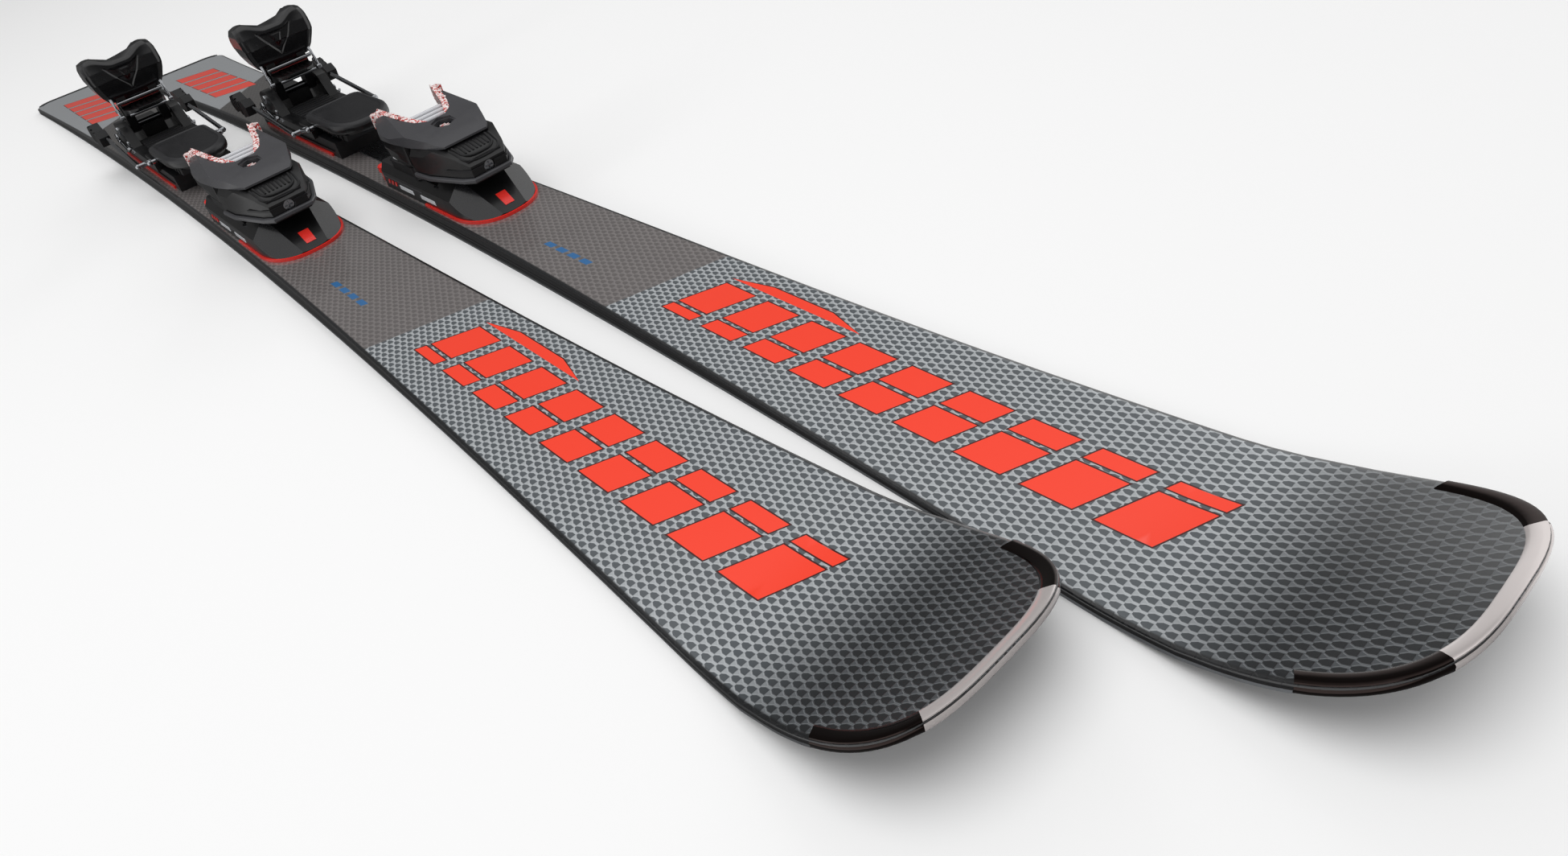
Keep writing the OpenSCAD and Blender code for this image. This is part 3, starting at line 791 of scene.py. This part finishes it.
def toe_cover():
    """Shield with a straight front edge and two legs that rise towards the wing tips."""
    inner = [(-28, 26), (6, 17), (18, 12), (27, 8.5)]
    half = inner[::-1] + [(-30, 32), (-14, 38), (6, 38), (36, 34), (66, 24), (72, 20)]
    side = [(-30, 52.3), (-16, COVER_LO), (72, COVER_LO), (72, 46.0), (57, 50.5), (30, 54.4), (-30, 65)]
    front = mirrored_front([(39, COVER_LO - 0.1), (39, 47.5), (35, 53.0), (24, COVER_HI)])
    rim_width, rim_floor = 1.6, 52.4
    shape = carve(
        drawn("plan", mirrored(half), COVER_LO, COVER_HI),
        (KEEP, drawn("side", side, -WIDE, WIDE)),
        (KEEP, drawn("front", front, -40, 90)),
        (CUT, drawn("plan", hexagon(WINDOW_X, WINDOW_R), 40, 70)),
        (CUT, drawn("plan", hexagon(WINDOW_X, WINDOW_R + rim_width), rim_floor, 70)),
    )
    piece("toe_shield", shape, TOE, "ski", CHARCOAL, ["toe_cover"], bevel=1.0)


def toe_window():
    """Dark recess with plain index bars, and the ribbed bridge behind it."""
    recess = drawn("plan", hexagon(WINDOW_X, WINDOW_R - 0.2), COVER_LO + 0.1, 49.0)
    piece("toe_window", recess, TOE, "ski", GLOSS_BLACK, bevel=0.3)
    bars = [drawn("plan", rectangle(x, x + 1.7, -half, half), 48.8, 50.2)
            for x, half in ((33.5, 2.6), (36.6, 4.2), (39.7, 4.2), (42.6, 2.2))]
    piece("toe_index", merged(*bars), TOE, "ski", SPARKLE, bevel=0.25)
    bed = mirrored([(26, 8.0), (18, 11.2), (6, 16.2), (-3, 18.4)])
    piece("rib_bed", drawn("plan", bed, COVER_LO + 0.1, 46.0), TOE, "ski", GLOSS_BLACK)
    ribs = []
    for i, half in enumerate((8.6, 10.9, 13.3, 15.4, 16.9)):
        x, z = RIB_X - RIB_PITCH * i, RIB_Z + RIB_STEP * i
        line = [(x, -half, z - 0.5), (x, -half + 0.8, z), (x, half - 0.8, z), (x, half, z - 0.5)]
        ribs.append(tube(line, RIB_R, 14))
        ribs.append(drawn("plan", rectangle(x - 1.0, x + 1.0, -half + 1, half - 1), 45.6, z))
    piece("toe_ribs", merged(*ribs), TOE, "ski", PEARL, sharp=40)


def toe_flecks():
    """Flecked inner rims and ends of the shield's legs, with three studs on each."""
    line = [(-28.6, 25.6), (6, 16.8), (18, 11.8), (26.6, 8.4)]
    rim = line + [(x + 1.6, y + 5.2) for x, y in reversed(line[:-1])] + [(-30.4, 31.0)]
    side = [(-31, 52), (-18, COVER_LO + 0.2), (28, COVER_LO + 0.2), (28, 55.0), (-31, 65.6)]
    front = [(5, 40), (42, 40), (38.6, 48.2), (35.2, 53.5), (25.0, 65.6), (14, 65.6), (5, 60)]
    legs = carve(
        drawn("plan", rim, COVER_LO, COVER_HI),
        (KEEP, drawn("side", side, 0, 40)),
        (KEEP, drawn("front", front, -40, 40)),
    )
    end = [(-30.9, 31.6), (-29.2, 25.4), (-26.8, 25.6), (-25.0, 34.6), (-27.2, 34.4)]
    places = ((-21, 28.2, 63.4), (-9, 25.0, 61.6), (3, 21.8, 59.6))
    studs = [bolt(place, (0, 0, 1), 2.0, 1.6) for place in places]
    flecked = both(merged(legs, drawn("plan", end, 50.5, 62.4), *studs))
    piece("toe_flecks", flecked, TOE, "ski", SPARKLE, bevel=0.35)


def front_z(x):
    """Height of the housing's sloping front."""
    return between(HOUSING_SLOPE, max(x, HOUSING_SLOPE[0][0]))


def u_ridge(half, back, front, radius):
    """A raised U that runs down the sloping front and round."""
    bend = 6
    path = [(back, half)]
    path += [(back + (front - bend - back) * k / 5, half - 0.25 * k) for k in range(1, 6)]
    path += [(front - bend + bend * math.sin(a), (half - 1.4) * math.cos(a) ** 0.6)
             for a in (math.radians(15 * k) for k in range(1, 6))]
    whole = mirrored(path + [(front, 0.0)], on_axis=True)
    return tube([(x, y, front_z(x)) for x, y in whole], radius, 8)


def toe_housing():
    """Black block under the shield: stepped, sloping front with nested ridges and a ribbed panel."""
    plan = mirrored([(28, HOUSING_HALF), (52, 33), (90, 21), (98, 16)])
    side = [(28, HOUSING_LO), (98, HOUSING_LO), *reversed(HOUSING_SLOPE), (28, COVER_LO)]
    front = [(31, HOUSING_LO), (HOUSING_HALF, HOUSING_LO + 4), (HOUSING_HALF, 36), (29, COVER_LO)]
    shape = carve(
        drawn("plan", plan, HOUSING_LO, 50),
        (KEEP, drawn("side", side, -WIDE, WIDE)),
        (KEEP, drawn("front", mirrored_front(front), 20, 120)),
        (CUT, tube([(86, 0, TOE_SCREW_Z), (120, 0, TOE_SCREW_Z)], 4.9, 40)),
    )
    piece("toe_block", shape, TOE, "ski", BLACK, ["toe_housing"], bevel=1.5)
    ridges = [u_ridge(15.5, 73.5, 90.5, 1.3), u_ridge(18.6, 74, 94.5, 1.1)]
    ribs = [tube([(x, y, front_z(x) - 0.1) for x in (74.5, 86.5)], 0.9, 8)
            for y in (3.5 * k for k in range(-3, 4))]
    piece("toe_ridges", merged(*ridges, *ribs), TOE, "ski", SATIN_BLACK, sharp=50)


def toe_collar():
    """Raised band round the foot of the housing, and the two lips above it."""
    levels = []
    for margin, z in ((0.0, 19.0), (2.6, 19.0), (2.6, 21.6), (1.8, 22.4), (0.0, 22.8)):
        half = [(30, HOUSING_HALF + 0.2 + margin), (53, 33.4 + margin),
                (90 + margin * 0.6, 21.4 + margin), (98.4 + margin, 16.2 + margin * 0.4)]
        levels.append([(x, y, z) for x, y in mirrored(half)])
    rings = [list(ring) for ring in zip(*levels)]
    piece("toe_collar", ring_loft(rings), TOE, "ski", CHARCOAL, bevel=0.5)
    step_line = [(70, 26.0), (88, 19.0), (95, 15.0)]
    wider_line = [(x + 4.2, y + 1.6) for x, y in step_line]
    lips = merged(
        drawn("plan", mirrored(step_line), 33.6, 35.2),
        drawn("plan", mirrored(wider_line), 27.6, 29.4),
    )
    lips = carve(lips, (CUT, tube([(80, 0, TOE_SCREW_Z), (120, 0, TOE_SCREW_Z)], 5.4, 30)))
    piece("toe_lips", lips, TOE, "ski", SATIN_BLACK, bevel=0.5)


def toe_wings():
    """Wings that grip the boot, their outer walls leaning in towards the ski."""
    arm = [(1, 9), (10, 9.5), (12, 4), (10, -4), (3, -9), (-12, -7), (-20, -1), (-27, 6), (-28, 12),
           (-22, 14)]
    plan = [(WING_PIN_X + x, WING_PIN_Y + y) for x, y in arm]
    side = [(-20, 34), (-14, WING_LO), (24, WING_LO), (24, WING_HI), (-20, WING_HI)]
    front = [(10, WING_LO), (31, WING_LO), (34.5, 28), (35, 33), (38, 39), (38, WING_HI), (10, WING_HI)]
    pin = tube([(WING_PIN_X, WING_PIN_Y, z) for z in (0, 60)], PIN_HOLE, 40)
    grip = carve(
        drawn("plan", plan, WING_LO, WING_HI),
        (KEEP, drawn("side", side, -WIDE, WIDE)),
        (KEEP, drawn("front", front, -40, 40)),
        (CUT, pin),
        (CUT, drawn("plan", rectangle(-30, -4, 0, 22), 10, 39.5)),
    )
    profile = ((0, 1.5), (0.5, 2), (3.5, 2), (4, 1.5))
    rollers = merged(*[turned((-16, 24.6, z), (0, 0, 1), profile) for z in (25, 31)])
    for turn, name in ((1, "left"), (-1, "right")):
        wing = f"wing_{name}"
        piece(f"{wing}_grip", on_side(grip, turn), TOE, wing, BLACK, [f"toe_{wing}"], bevel=1.0)
        piece(f"{wing}_roller", on_side(rollers, turn), TOE, wing, WHITE, sharp=40)


def on_side(shape, turn):
    """The solid itself for 1 and its mirror image across the ski for -1."""
    points, faces = shape
    return [(p[0], turn * p[1], p[2]) for p in points], faces


def nose_outline(steps=16):
    """Half of the front plate's outline, from the back to the nose."""
    arc = [(NOSE_X + NOSE_L * math.cos(a) ** 0.85, PLATE_HALF * math.sin(a) ** 0.85)
           for a in (math.pi / 2 * (1 - k / steps) for k in range(steps + 1))]
    return [(-70, PLATE_HALF - 8), (-60, PLATE_HALF)] + arc


def cut_by_plane(shape, point, normal):
    """The solid with everything on the plane's outer side cut off and the cut closed."""
    work = bmesh.new()
    corners = [work.verts.new(p) for p in shape[0]]
    for face in shape[1]:
        work.faces.new([corners[k] for k in face])
    bmesh.ops.remove_doubles(work, verts=work.verts, dist=0.001)
    everything = work.verts[:] + work.edges[:] + work.faces[:]
    cut = bmesh.ops.bisect_plane(work, geom=everything, plane_co=point, plane_no=normal, clear_outer=True)
    rim = [e for e in cut["geom_cut"] if isinstance(e, bmesh.types.BMEdge)]
    bmesh.ops.contextual_create(work, geom=rim)
    work.verts.index_update()
    result = [tuple(v.co) for v in work.verts], [tuple(v.index for v in f.verts) for f in work.faces]
    work.free()
    return result


def is_side_facet(shape, face):
    """Whether a face of the front plate leans both forward and to the side."""
    a, b, c = (Vector(shape[0][k]) for k in face[:3])
    normal = (b - a).cross(c - a).normalized()
    return abs(normal.x) > 0.3 and abs(normal.y) > 0.25 and 0.3 < abs(normal.z) < 0.95


def toe_plate():
    """Base plate whose nose falls in a middle facet and two side facets to the red line, the side facets in
    a lighter black that is a painted sheen.
    """
    shape = drawn("plan", mirrored(nose_outline(), on_axis=True), -RISER, PLATE_HI)
    shape = cut_by_plane(shape, (114, 0, NOSE_Z), (0.5, 0, 0.866))
    for turn in (1, -1):
        shape = cut_by_plane(shape, (104, turn * 22, NOSE_Z), (0.5, turn * 0.46, 0.73))
        shape = cut_by_plane(shape, (50, turn * 35, 4.0), (0.0, turn * 0.62, 0.78))
    shape = carve(shape, (CUT, drawn("plan", rectangle(-80, 44, -60, 60), 9, 30)))
    # faces that lean forward and aside get the lighter black: a painted sheen picked by the way they face
    kinds = [int(is_side_facet(shape, face)) for face in shape[1]]
    put("toe_base", mesh_from("toe_base", *shape, origin=TOE, kinds=kinds), "ski",
        ["toe_plate"], [BLACK, FACET_SHEEN_BLACK], bevel=0.7)


def plate_marks():
    """Red tile on the nose, red label, dashes and knobs behind, and the plate's seams and windows."""
    slope = Vector((0.5, 0, 0.866)).normalized()
    along = Vector((0.866, 0, -0.5)).normalized()
    middle = Vector((TILE_X, 0, NOSE_Z + (114 - TILE_X) * 0.5 / 0.866))
    corners = [middle + along * a + Vector((0, b, 0)) + slope * c
               for c in (-0.6, 0.35) for a, b in ((-7, -4.6), (7, -4.2), (7, 4.2), (-7, 4.6))]
    walls = [(k, (k + 1) % 4, (k + 1) % 4 + 4, k + 4) for k in range(4)]
    tile = corners, [(0, 1, 2, 3), (4, 5, 6, 7)] + walls
    dashes = [drawn("side", [(x, -6), (x + 3.4, -6), (x + 5.4, -2), (x + 2.0, -2)], 34.2, 35.5)
              for x in (-52, -45, -38)]
    label = drawn("plan", [(-67, -11), (-58, -13), (-45, -13), (-45, 13), (-58, 13), (-67, 11)], 8.6, 9.8)
    knob_profile = ((0, 3.4), (7, 3.4), (8, 4.6), (13, 4.6), (14.2, 3.4))
    knob = turned((-78, 27, -RISER + 0.4), (0, 0, 1), knob_profile)
    marks = merged(tile, label, both(merged(*dashes, knob)))
    piece("toe_red_marks", marks, TOE, "ski", RED, sharp=40)
    seams = both(drawn("side", rectangle(-58, 20, -0.6, 0.6), 34.4, 35.3))
    piece("plate_seams", seams, TOE, "ski", CHARCOAL, bevel=0.3)
    windows = [drawn("side", rectangle(x, x + 27, -7, -3), 34.2, 35.4) for x in (-28, 14)]
    piece("plate_windows", both(merged(*windows)), TOE, "ski", PEARL, bevel=0.4)


# ---- heel piece, from the boot's heel
CUP_LO, CUP_RIM = 58.5, 98.0
CUP_FRONT = ((58, -24), (64, -20), (76, -13), (82, -9), (93, -12), (105, -20), (108, -22))
CUP_HALF = ((58, 27), (66, 32), (76, 35.5), (86, 37.6), (98, 38), (104, 36.5), (108, 33))
CUP_BACK_MIDDLE = ((58, -26), (61, -27), (76, -28), (90, -36), (120, -44))
CUP_BACK_SIDES = ((58, -38), (64, -40), (72, -44), (92, -46.5), (106, -36), (120, -30))
CUP_PIVOT, LEVER_PIVOT = (-40, 27), (-35, 67)
CUP_COLUMNS, CUP_ROWS = 84, 60
PEDAL_BACK, PEDAL_NOSE, PEDAL_NOSE_L, PEDAL_HALF = 60, 120, 37, 31.0
PEDAL_UNDER = 14.0


def cup_back(height, across):
    """How far back the cup reaches: its middle leaves room for the lever's swing."""
    return between(CUP_BACK_MIDDLE if abs(across) < 23.0 else CUP_BACK_SIDES, height)


def cup_top(across):
    """Height of the cup's scooped rim: low in the middle and raised in two lobes."""
    return CUP_RIM + 8.0 * ramp(abs(across), 6, 28) - 2.6 * max(abs(across) - 31, 0.0) / 6


def cup_ring(v, places):
    """One level of the cup: its scooped face with a sunk V, and its back."""
    front, back = [], []
    for u in places:
        z = CUP_LO + (cup_top(u * 36) - CUP_LO) * v
        y = u * between(CUP_HALF, z)
        scoop = 6.0 * (1 - u * u) * math.sin(math.pi * min(v * 1.02, 1.0)) ** 0.8
        edge = 3.4 * ramp(abs(u), 0.84, 1.0) + 2.6 * ramp(v, 0.93, 1.0)
        outer = ramp(v - 1.25 * abs(u), 0.20, 0.26) * ramp(0.87 - v, 0.0, 0.05)
        inner = ramp(v - 2.2 * abs(u), 0.42, 0.50) * ramp(0.80 - v, 0.0, 0.05)
        front.append((between(CUP_FRONT, z) - scoop - edge - 1.6 * outer + 1.2 * inner, y, z))
        back.append((cup_back(z, y) + 1.6 * ramp(abs(u), 0.9, 1.0), y, z))
    return front + back[::-1]


def cross_bar(pivot, low, high, radius, sides=40):
    """A round bar across the binding, at a point given by its X and Z."""
    return tube([(pivot[0], y, pivot[1]) for y in (low, high)], radius, sides)


def heel_cup():
    """Scooped cup on two arms, with a treadle in front."""
    places = [-1 + 2 * k / CUP_COLUMNS for k in range(CUP_COLUMNS + 1)]
    body = ring_loft([cup_ring(row / CUP_ROWS, places) for row in range(CUP_ROWS + 1)])
    piece("cup_shell", body, HEEL, "cup", GLOSS_BLACK, ["heel_cup"], sharp=50)
    arm_side = [(-48, 22), (-40, 18.5), (-32, 22), (-29, 36), (-21, 52), (-22, 62), (-26, 60.5),
                (-38, 56.5), (-44, 44)]
    arms = both(carve(
        drawn("side", arm_side, 12.5, 21.5),
        (CUT, cross_bar(CUP_PIVOT, 0, 60, PIN_HOLE)),
    ))
    lip_plan = mirrored([(-36, 21.5), (-12, 21.5), (-3, 17.5), (1, 10)])
    lip_side = [(-32, 40), (-4, 46), (1, 48.2), (1.5, 50), (-24, 51), (-29, 58), (-36, 58)]
    grooves = [drawn("plan", rectangle(-22, -5, y, y + 2.2), 49.6, 55)
               for y in (-15, -9.5, -4, 1.8, 7.3, 12.8)]
    treadle = carve(
        drawn("side", lip_side, -30, 30),
        (KEEP, drawn("plan", lip_plan, 30, 70)),
        (CUT, merged(*grooves)),
    )
    piece("cup_frame", merged(arms, treadle), HEEL, "cup", BLACK, bevel=0.8)


def cup_fittings():
    """Pins, bars and linkage of the cup, and the red lines between its shell and the treadle."""
    mirrored_parts = merged(
        bolt((-27, 31.5, 102.4), (0.25, 0.25, 1), 2.3, 2.4),
        bolt((-20.5, 26.5, 50), (1, 0, 0.3), 2.2, 3.0),
        cross_bar(LEVER_PIVOT, 21, 30, 3.0, 20),
        tube([(-24, 26.4, 65), (-20, 26.8, 60), (-15, 26.6, 50), (-13.5, 26.4, 44)], 1.5, 12),
        bolt((-13.5, 24.2, 43.5), (0, 1, 0), 2.6, 4.6),
        bolt((-24.5, 24.6, 65), (0, 1, 0), 2.6, 4.2),
    )
    bars = cross_bar((-3, 45.2), -19.5, 19.5, 1.6, 14), cross_bar((-15.5, 57.6), -24, 24, 1.8, 14)
    piece("cup_metal", merged(both(mirrored_parts), *bars), HEEL, "cup", WIRE, sharp=40)
    lines = [drawn("side", rectangle(-24, reach, z, z + 1.1), -20, 20)
             for z, reach in ((53.6, -17.6), (55.8, -16.8))]
    piece("cup_lines", merged(*lines), HEEL, "cup", DARK_RED, bevel=0.3)


def heel_lever():
    """Lever that hangs back behind the open cup, with a hollow for a pole tip."""
    side = [(-40, 62), (-33, 60.5), (-29, 66), (-31, 73), (-38, 78), (-56, 77), (-74, 67), (-80, 59),
            (-75, 56), (-60, 63), (-48, 66)]
    groove = [(-50, 76), (-74, 63), (-84, 62), (-60, 90)]
    shape = carve(
        drawn("side", side, -22, 22),
        (CUT, cross_bar(LEVER_PIVOT, -60, 60, PIN_HOLE)),
        (CUT, turned((-52, 0, 70), (-0.1, 0, 1), ((0, 3.5), (5, 6.0), (14, 8.5)))),
        (CUT, merged(*[drawn("side", groove, y, y + 1.8) for y in (-15, -9, 7.2, 13.2)])),
    )
    piece("lever_shell", shape, HEEL, "lever", BLACK, ["heel_lever"], bevel=0.7)


def heel_track():
    """Track with a rack of slots down its middle and a flute along each side."""
    points, faces = cad_shape("heel_track")
    slots = [drawn("plan", rectangle(x, x + 2.8, -7, 7), 3.0, 9) for x in range(-94, 112, 6)]
    flute = [(-90, -6.5), (108, -6.5), (112, -3.5), (108, -0.5), (-90, -0.5), (-94, -3.5)]
    shape = carve(
        ([p - HEEL for p in points], faces),
        (CUT, merged(*slots)),
        (CUT, both(drawn("side", flute, 28.6, 34))),
    )
    piece("heel_rack", shape, HEEL, "ski", SATIN_BLACK, ["heel_track"], bevel=0.6)


def heel_carriage():
    """The heel's carriage with the small metal parts that ride on it."""
    dressed("heel_carriage", "heel", BLACK, 0.8)
    eye = [(-52 + 5.2 * math.cos(a), 36.2, 17 + 5.2 * math.sin(a))
           for a in (math.radians(30 * k) for k in range(13))]
    metal = both(merged(
        tube(eye, 1.4, 12),
        tube([(-46, 36.2, 14), (-30, 36.4, 9), (-22, 36.4, 8), (-16, 36.4, 12)], 1.5, 12),
        drawn("side", [(-74, 7.2), (-10, 7.2), (-14, 10.4), (-74, 10.4)], 34.0, 35.0),
        bolt((-40, 33, 27), (0, 1, 0), 4.6, 2.2),
        bolt((-20, 33, 16), (0, 1, 0), 2.6, 1.8),
    ))
    piece("heel_fittings", metal, HEEL, "heel", WIRE, sharp=40)
    treads = [drawn("side", [(x, 10.8), (x + 4.4, 10.8), (x + 3.4, 13.2), (x + 1.0, 13.2)], -22, 22)
              for x in range(-26, 31, 8)]
    piece("heel_treads", merged(*treads), HEEL, "heel", SATIN_BLACK, bevel=0.4)


def pedal_ring(margin, z):
    """One level of the pedal's outline: rounded nose ahead, softened corners behind."""
    half = PEDAL_HALF - margin
    back_x = PEDAL_BACK + margin + 7
    nose = [(PEDAL_NOSE + (PEDAL_NOSE_L - margin) * math.cos(a), half * math.sin(a) ** 0.8)
            for a in (math.radians(90 - 7.5 * k) for k in range(13))]
    back = [(back_x - 7 * math.cos(a), half - 9 + 9 * math.sin(a))
            for a in (math.radians(18 * k) for k in range(6))]
    run = [(back_x + (PEDAL_NOSE - back_x) * k / 6, half) for k in range(1, 6)]
    return [(x, y, z) for x, y in mirrored(back + run + nose, on_axis=True)]


def pedal_z(x):
    """Lift of the pad's top: it falls a little at the nose."""
    return -1.5 * max((x - PEDAL_NOSE) / PEDAL_NOSE_L, 0.0) ** 2


def brake_pedal():
    """Boot pedal: a dark pad in a bevelled rim on a thick black body."""
    levels = ((6.5, PEDAL_UNDER), (3.0, 14.6), (0.6, 17.0), (0.0, 19.0), (0.0, 22.4), (0.7, 24.6),
              (2.0, 25.8), (3.6, 26.6), (4.8, 26.8), (5.6, 26.2), (6.4, 26.0), (9.0, 26.5), (14.0, 27.0))
    rings = [[(x, y, max(z, PEDAL_UNDER) + pedal_z(x)) for x, y, z in pedal_ring(margin, z)]
             for margin, z in levels]
    points, faces = ring_loft(rings)
    kinds = []
    for level in range(len(levels) - 1):
        kinds += [2 if level < 4 else 1 if level < 9 else 0] * len(rings[0])
    body = mesh_from("pedal_pad", points, faces, origin=HEEL, sharp=35, kinds=kinds + [2, 0])
    put("pedal_pad", body, "brake", ["brake_pedal"], [PAD_DARK, RIM_GREY, BLACK])
    base = carve(
        drawn("side", [(76, 8), (142, 8), (146, 15), (72, 15)], -24, 24),
        (CUT, cross_bar((82, 16), -60, 60, 2.35, 30)),
    )
    ribs = [drawn("side", rectangle(x, x + 2.2, 9, 14.6), -25.2, 25.2) for x in range(84, 133, 12)]
    piece("pedal_base", merged(base, *ribs), HEEL, "brake", SATIN_BLACK, bevel=0.6)


def brake_feet():
    """Two toothed feet with slanted grooves on their outer sides."""
    side = [(-104, 20), (-96, 12), (-84, 15), (-72, 10), (-54, 14), (-52, 24), (-60, 30), (-74, 27),
            (-88, 33), (-98, 30)]
    grooves = [drawn("side", [(x, 8), (x + 2.4, 8), (x + 5.4, 36), (x + 3.0, 36)], 51.6, 60)
               for x in range(-98, -76, 7)]
    foot = carve(drawn("side", side, 42.5, 53.5), (CUT, merged(*grooves)))
    piece("brake_claws", both(foot), HEEL, "brake", SATIN_BLACK, ["brake_feet"], bevel=0.8)


# ---- stage
WORLD_LIGHT, ROOM_LIGHT, CEILING_LIGHT, WALL_LIGHT = 0.52, 0.14, 1.0, 0.9


def make_stage():
    """White floor, three soft lights and the surroundings."""
    bpy.ops.mesh.primitive_plane_add(size=14, location=(0, 0, 0))
    floor = bpy.context.object
    floor.name = "floor"
    floor.data.materials.append(Paint("floor_paint", "#f6f6f6", 0.7, specular=0.1).material)
    floor.visible_glossy = False
    scene = bpy.context.scene
    scene.view_settings.view_transform = "Standard"
    scene.world = studio_world()
    for name, at, aim, size, power in (
        ("flood", (0.5, -0.3, 3.2), (0.2, 0.0, 0.0), 3.4, 62),
        ("rim", (-2.4, 1.9, 1.3), (-0.2, 0.0, 0.0), 0.9, 7),
        ("side", (0.3, -2.6, 1.0), (0.0, 0.0, 0.0), 0.8, 6),
    ):
        light = bpy.data.lights.new(name, "AREA")
        light.shape = "DISK"
        light.size = size
        light.energy = power
        lamp = bpy.data.objects.new(name, light)
        lamp.visible_glossy = False
        bpy.context.collection.objects.link(lamp)
        lamp.location = at
        lamp.rotation_mode = "QUATERNION"
        lamp.rotation_quaternion = (Vector(aim) - Vector(at)).to_track_quat("-Z", "Y")


def studio_world():
    """White surroundings that glossy surfaces see as a dim room with bright walls and a bright ceiling."""
    world = bpy.data.worlds.new("studio")
    world.use_nodes = True
    tree = world.node_tree
    path = added(tree, "LightPath", {})
    spot = added(tree, "TexCoord", {}).outputs["Generated"]
    _, y, z = (Field(tree, axis) for axis in added(tree, "SeparateXYZ", {0: spot}).outputs)
    white = tree.nodes["Background"]
    white.inputs["Color"].default_value = (1.0, 1.0, 1.0, 1.0)
    seen = Field(tree, path.outputs["Is Camera Ray"]) * (1.0 - WORLD_LIGHT) + WORLD_LIGHT
    tree.links.new(seen.socket, white.inputs["Strength"])
    ceiling = z.step(0.55, 0.95) * (CEILING_LIGHT - ROOM_LIGHT) + ROOM_LIGHT
    wall = y.size().step(0.62, 0.74) * WALL_LIGHT
    room = added(tree, "Background", {"Strength": ceiling + wall})
    glossy = path.outputs["Is Glossy Ray"]
    mix = added(tree, "MixShader", {0: glossy, 1: white.outputs[0], 2: room.outputs[0]})
    tree.links.new(mix.outputs[0], tree.nodes["World Output"].inputs["Surface"])
    return world


def make_camera():
    """The camera stands ahead of the tips and looks back along the skis, tilted."""
    eye = Vector((0.9567, -0.2499, 0.3719))
    turn, drop, roll = (math.radians(a) for a in (-33.29, 34.74, -15.08))
    forward = Vector((-math.cos(drop) * math.cos(turn), -math.cos(drop) * math.sin(turn), -math.sin(drop)))
    right = forward.cross(Vector((0, 0, 1))).normalized()
    up = right.cross(forward)
    turned_right = math.cos(roll) * right + math.sin(roll) * up
    turned_up = -math.sin(roll) * right + math.cos(roll) * up
    data = bpy.data.cameras.new("camera")
    data.sensor_width = 36.0
    data.lens = 24.71
    data.shift_x, data.shift_y = 0.015, -0.041
    data.clip_start, data.clip_end = 0.02, 40
    camera = bpy.data.objects.new("camera", data)
    bpy.context.collection.objects.link(camera)
    axes = Matrix((turned_right, turned_up, -forward)).transposed()
    camera.matrix_world = Matrix.Translation(eye) @ axes.to_4x4()
    bpy.context.scene.camera = camera


# ---- build
make_camera()
make_stage()

put("deck", deck_mesh(), "ski", ["topsheet"],
    [deck_paint(), print_paint("print_red", "#ff4024"), print_paint("print_outline", "#3c0f0c"),
     print_paint("print_blue", "#2f6aa0")])
put("sides", sidewall_mesh(), "ski", ["sidewalls"],
    [plastic("sidewall_black", "#0c0c0e", 0.34, grain=0.03)])
# the tip guard is bright in the middle and carries a painted dark reflection on its ends
put("front_guard", guard_mesh("front_guard", lambda x: x > SKI_L - GUARD_L, 40.0), "ski",
    ["tip_guard"], [BRIGHT, GUARD_DARK_REFLECTION, GROOVE])
put("rear_guard", guard_mesh("rear_guard", lambda x: x < TAIL_GUARD_L, 0.0), "ski",
    ["tail_guard"], [SATIN_BLACK, SATIN_BLACK, GROOVE])

for build in (
    toe_cover, toe_window, toe_flecks, toe_housing, toe_collar, toe_wings, toe_plate, plate_marks,
    heel_cup, cup_fittings, heel_lever, heel_track, heel_carriage, brake_pedal, brake_feet,
):
    build()
for node, body, slot, paint, width in (
    ("toe_carriage", "ski", "plate_black", SATIN_BLACK, 0.8),
    ("afd_pad", "afd", "pad_white", WHITE, 0.6),
    ("rail_strip", "ski", "strip_steel", STRIP_STEEL, 0.3),
):
    dressed(node, body, paint, width)
for node, paint in (
    ("base", running_base("sintered_base")), ("edges", EDGE_STEEL), ("core", wood("core_wood")),
    ("plate_trim", RED), ("plate_screws", SCREW_STEEL), ("toe_pins", WIRE), ("toe_spring", SPRING_STEEL),
    ("toe_adjuster", ALLOY), ("heel_pin", WIRE), ("heel_spring", SPRING_STEEL), ("heel_adjuster", ALLOY),
    ("brake_wire", WIRE),
):
    coat_node(node, paint)
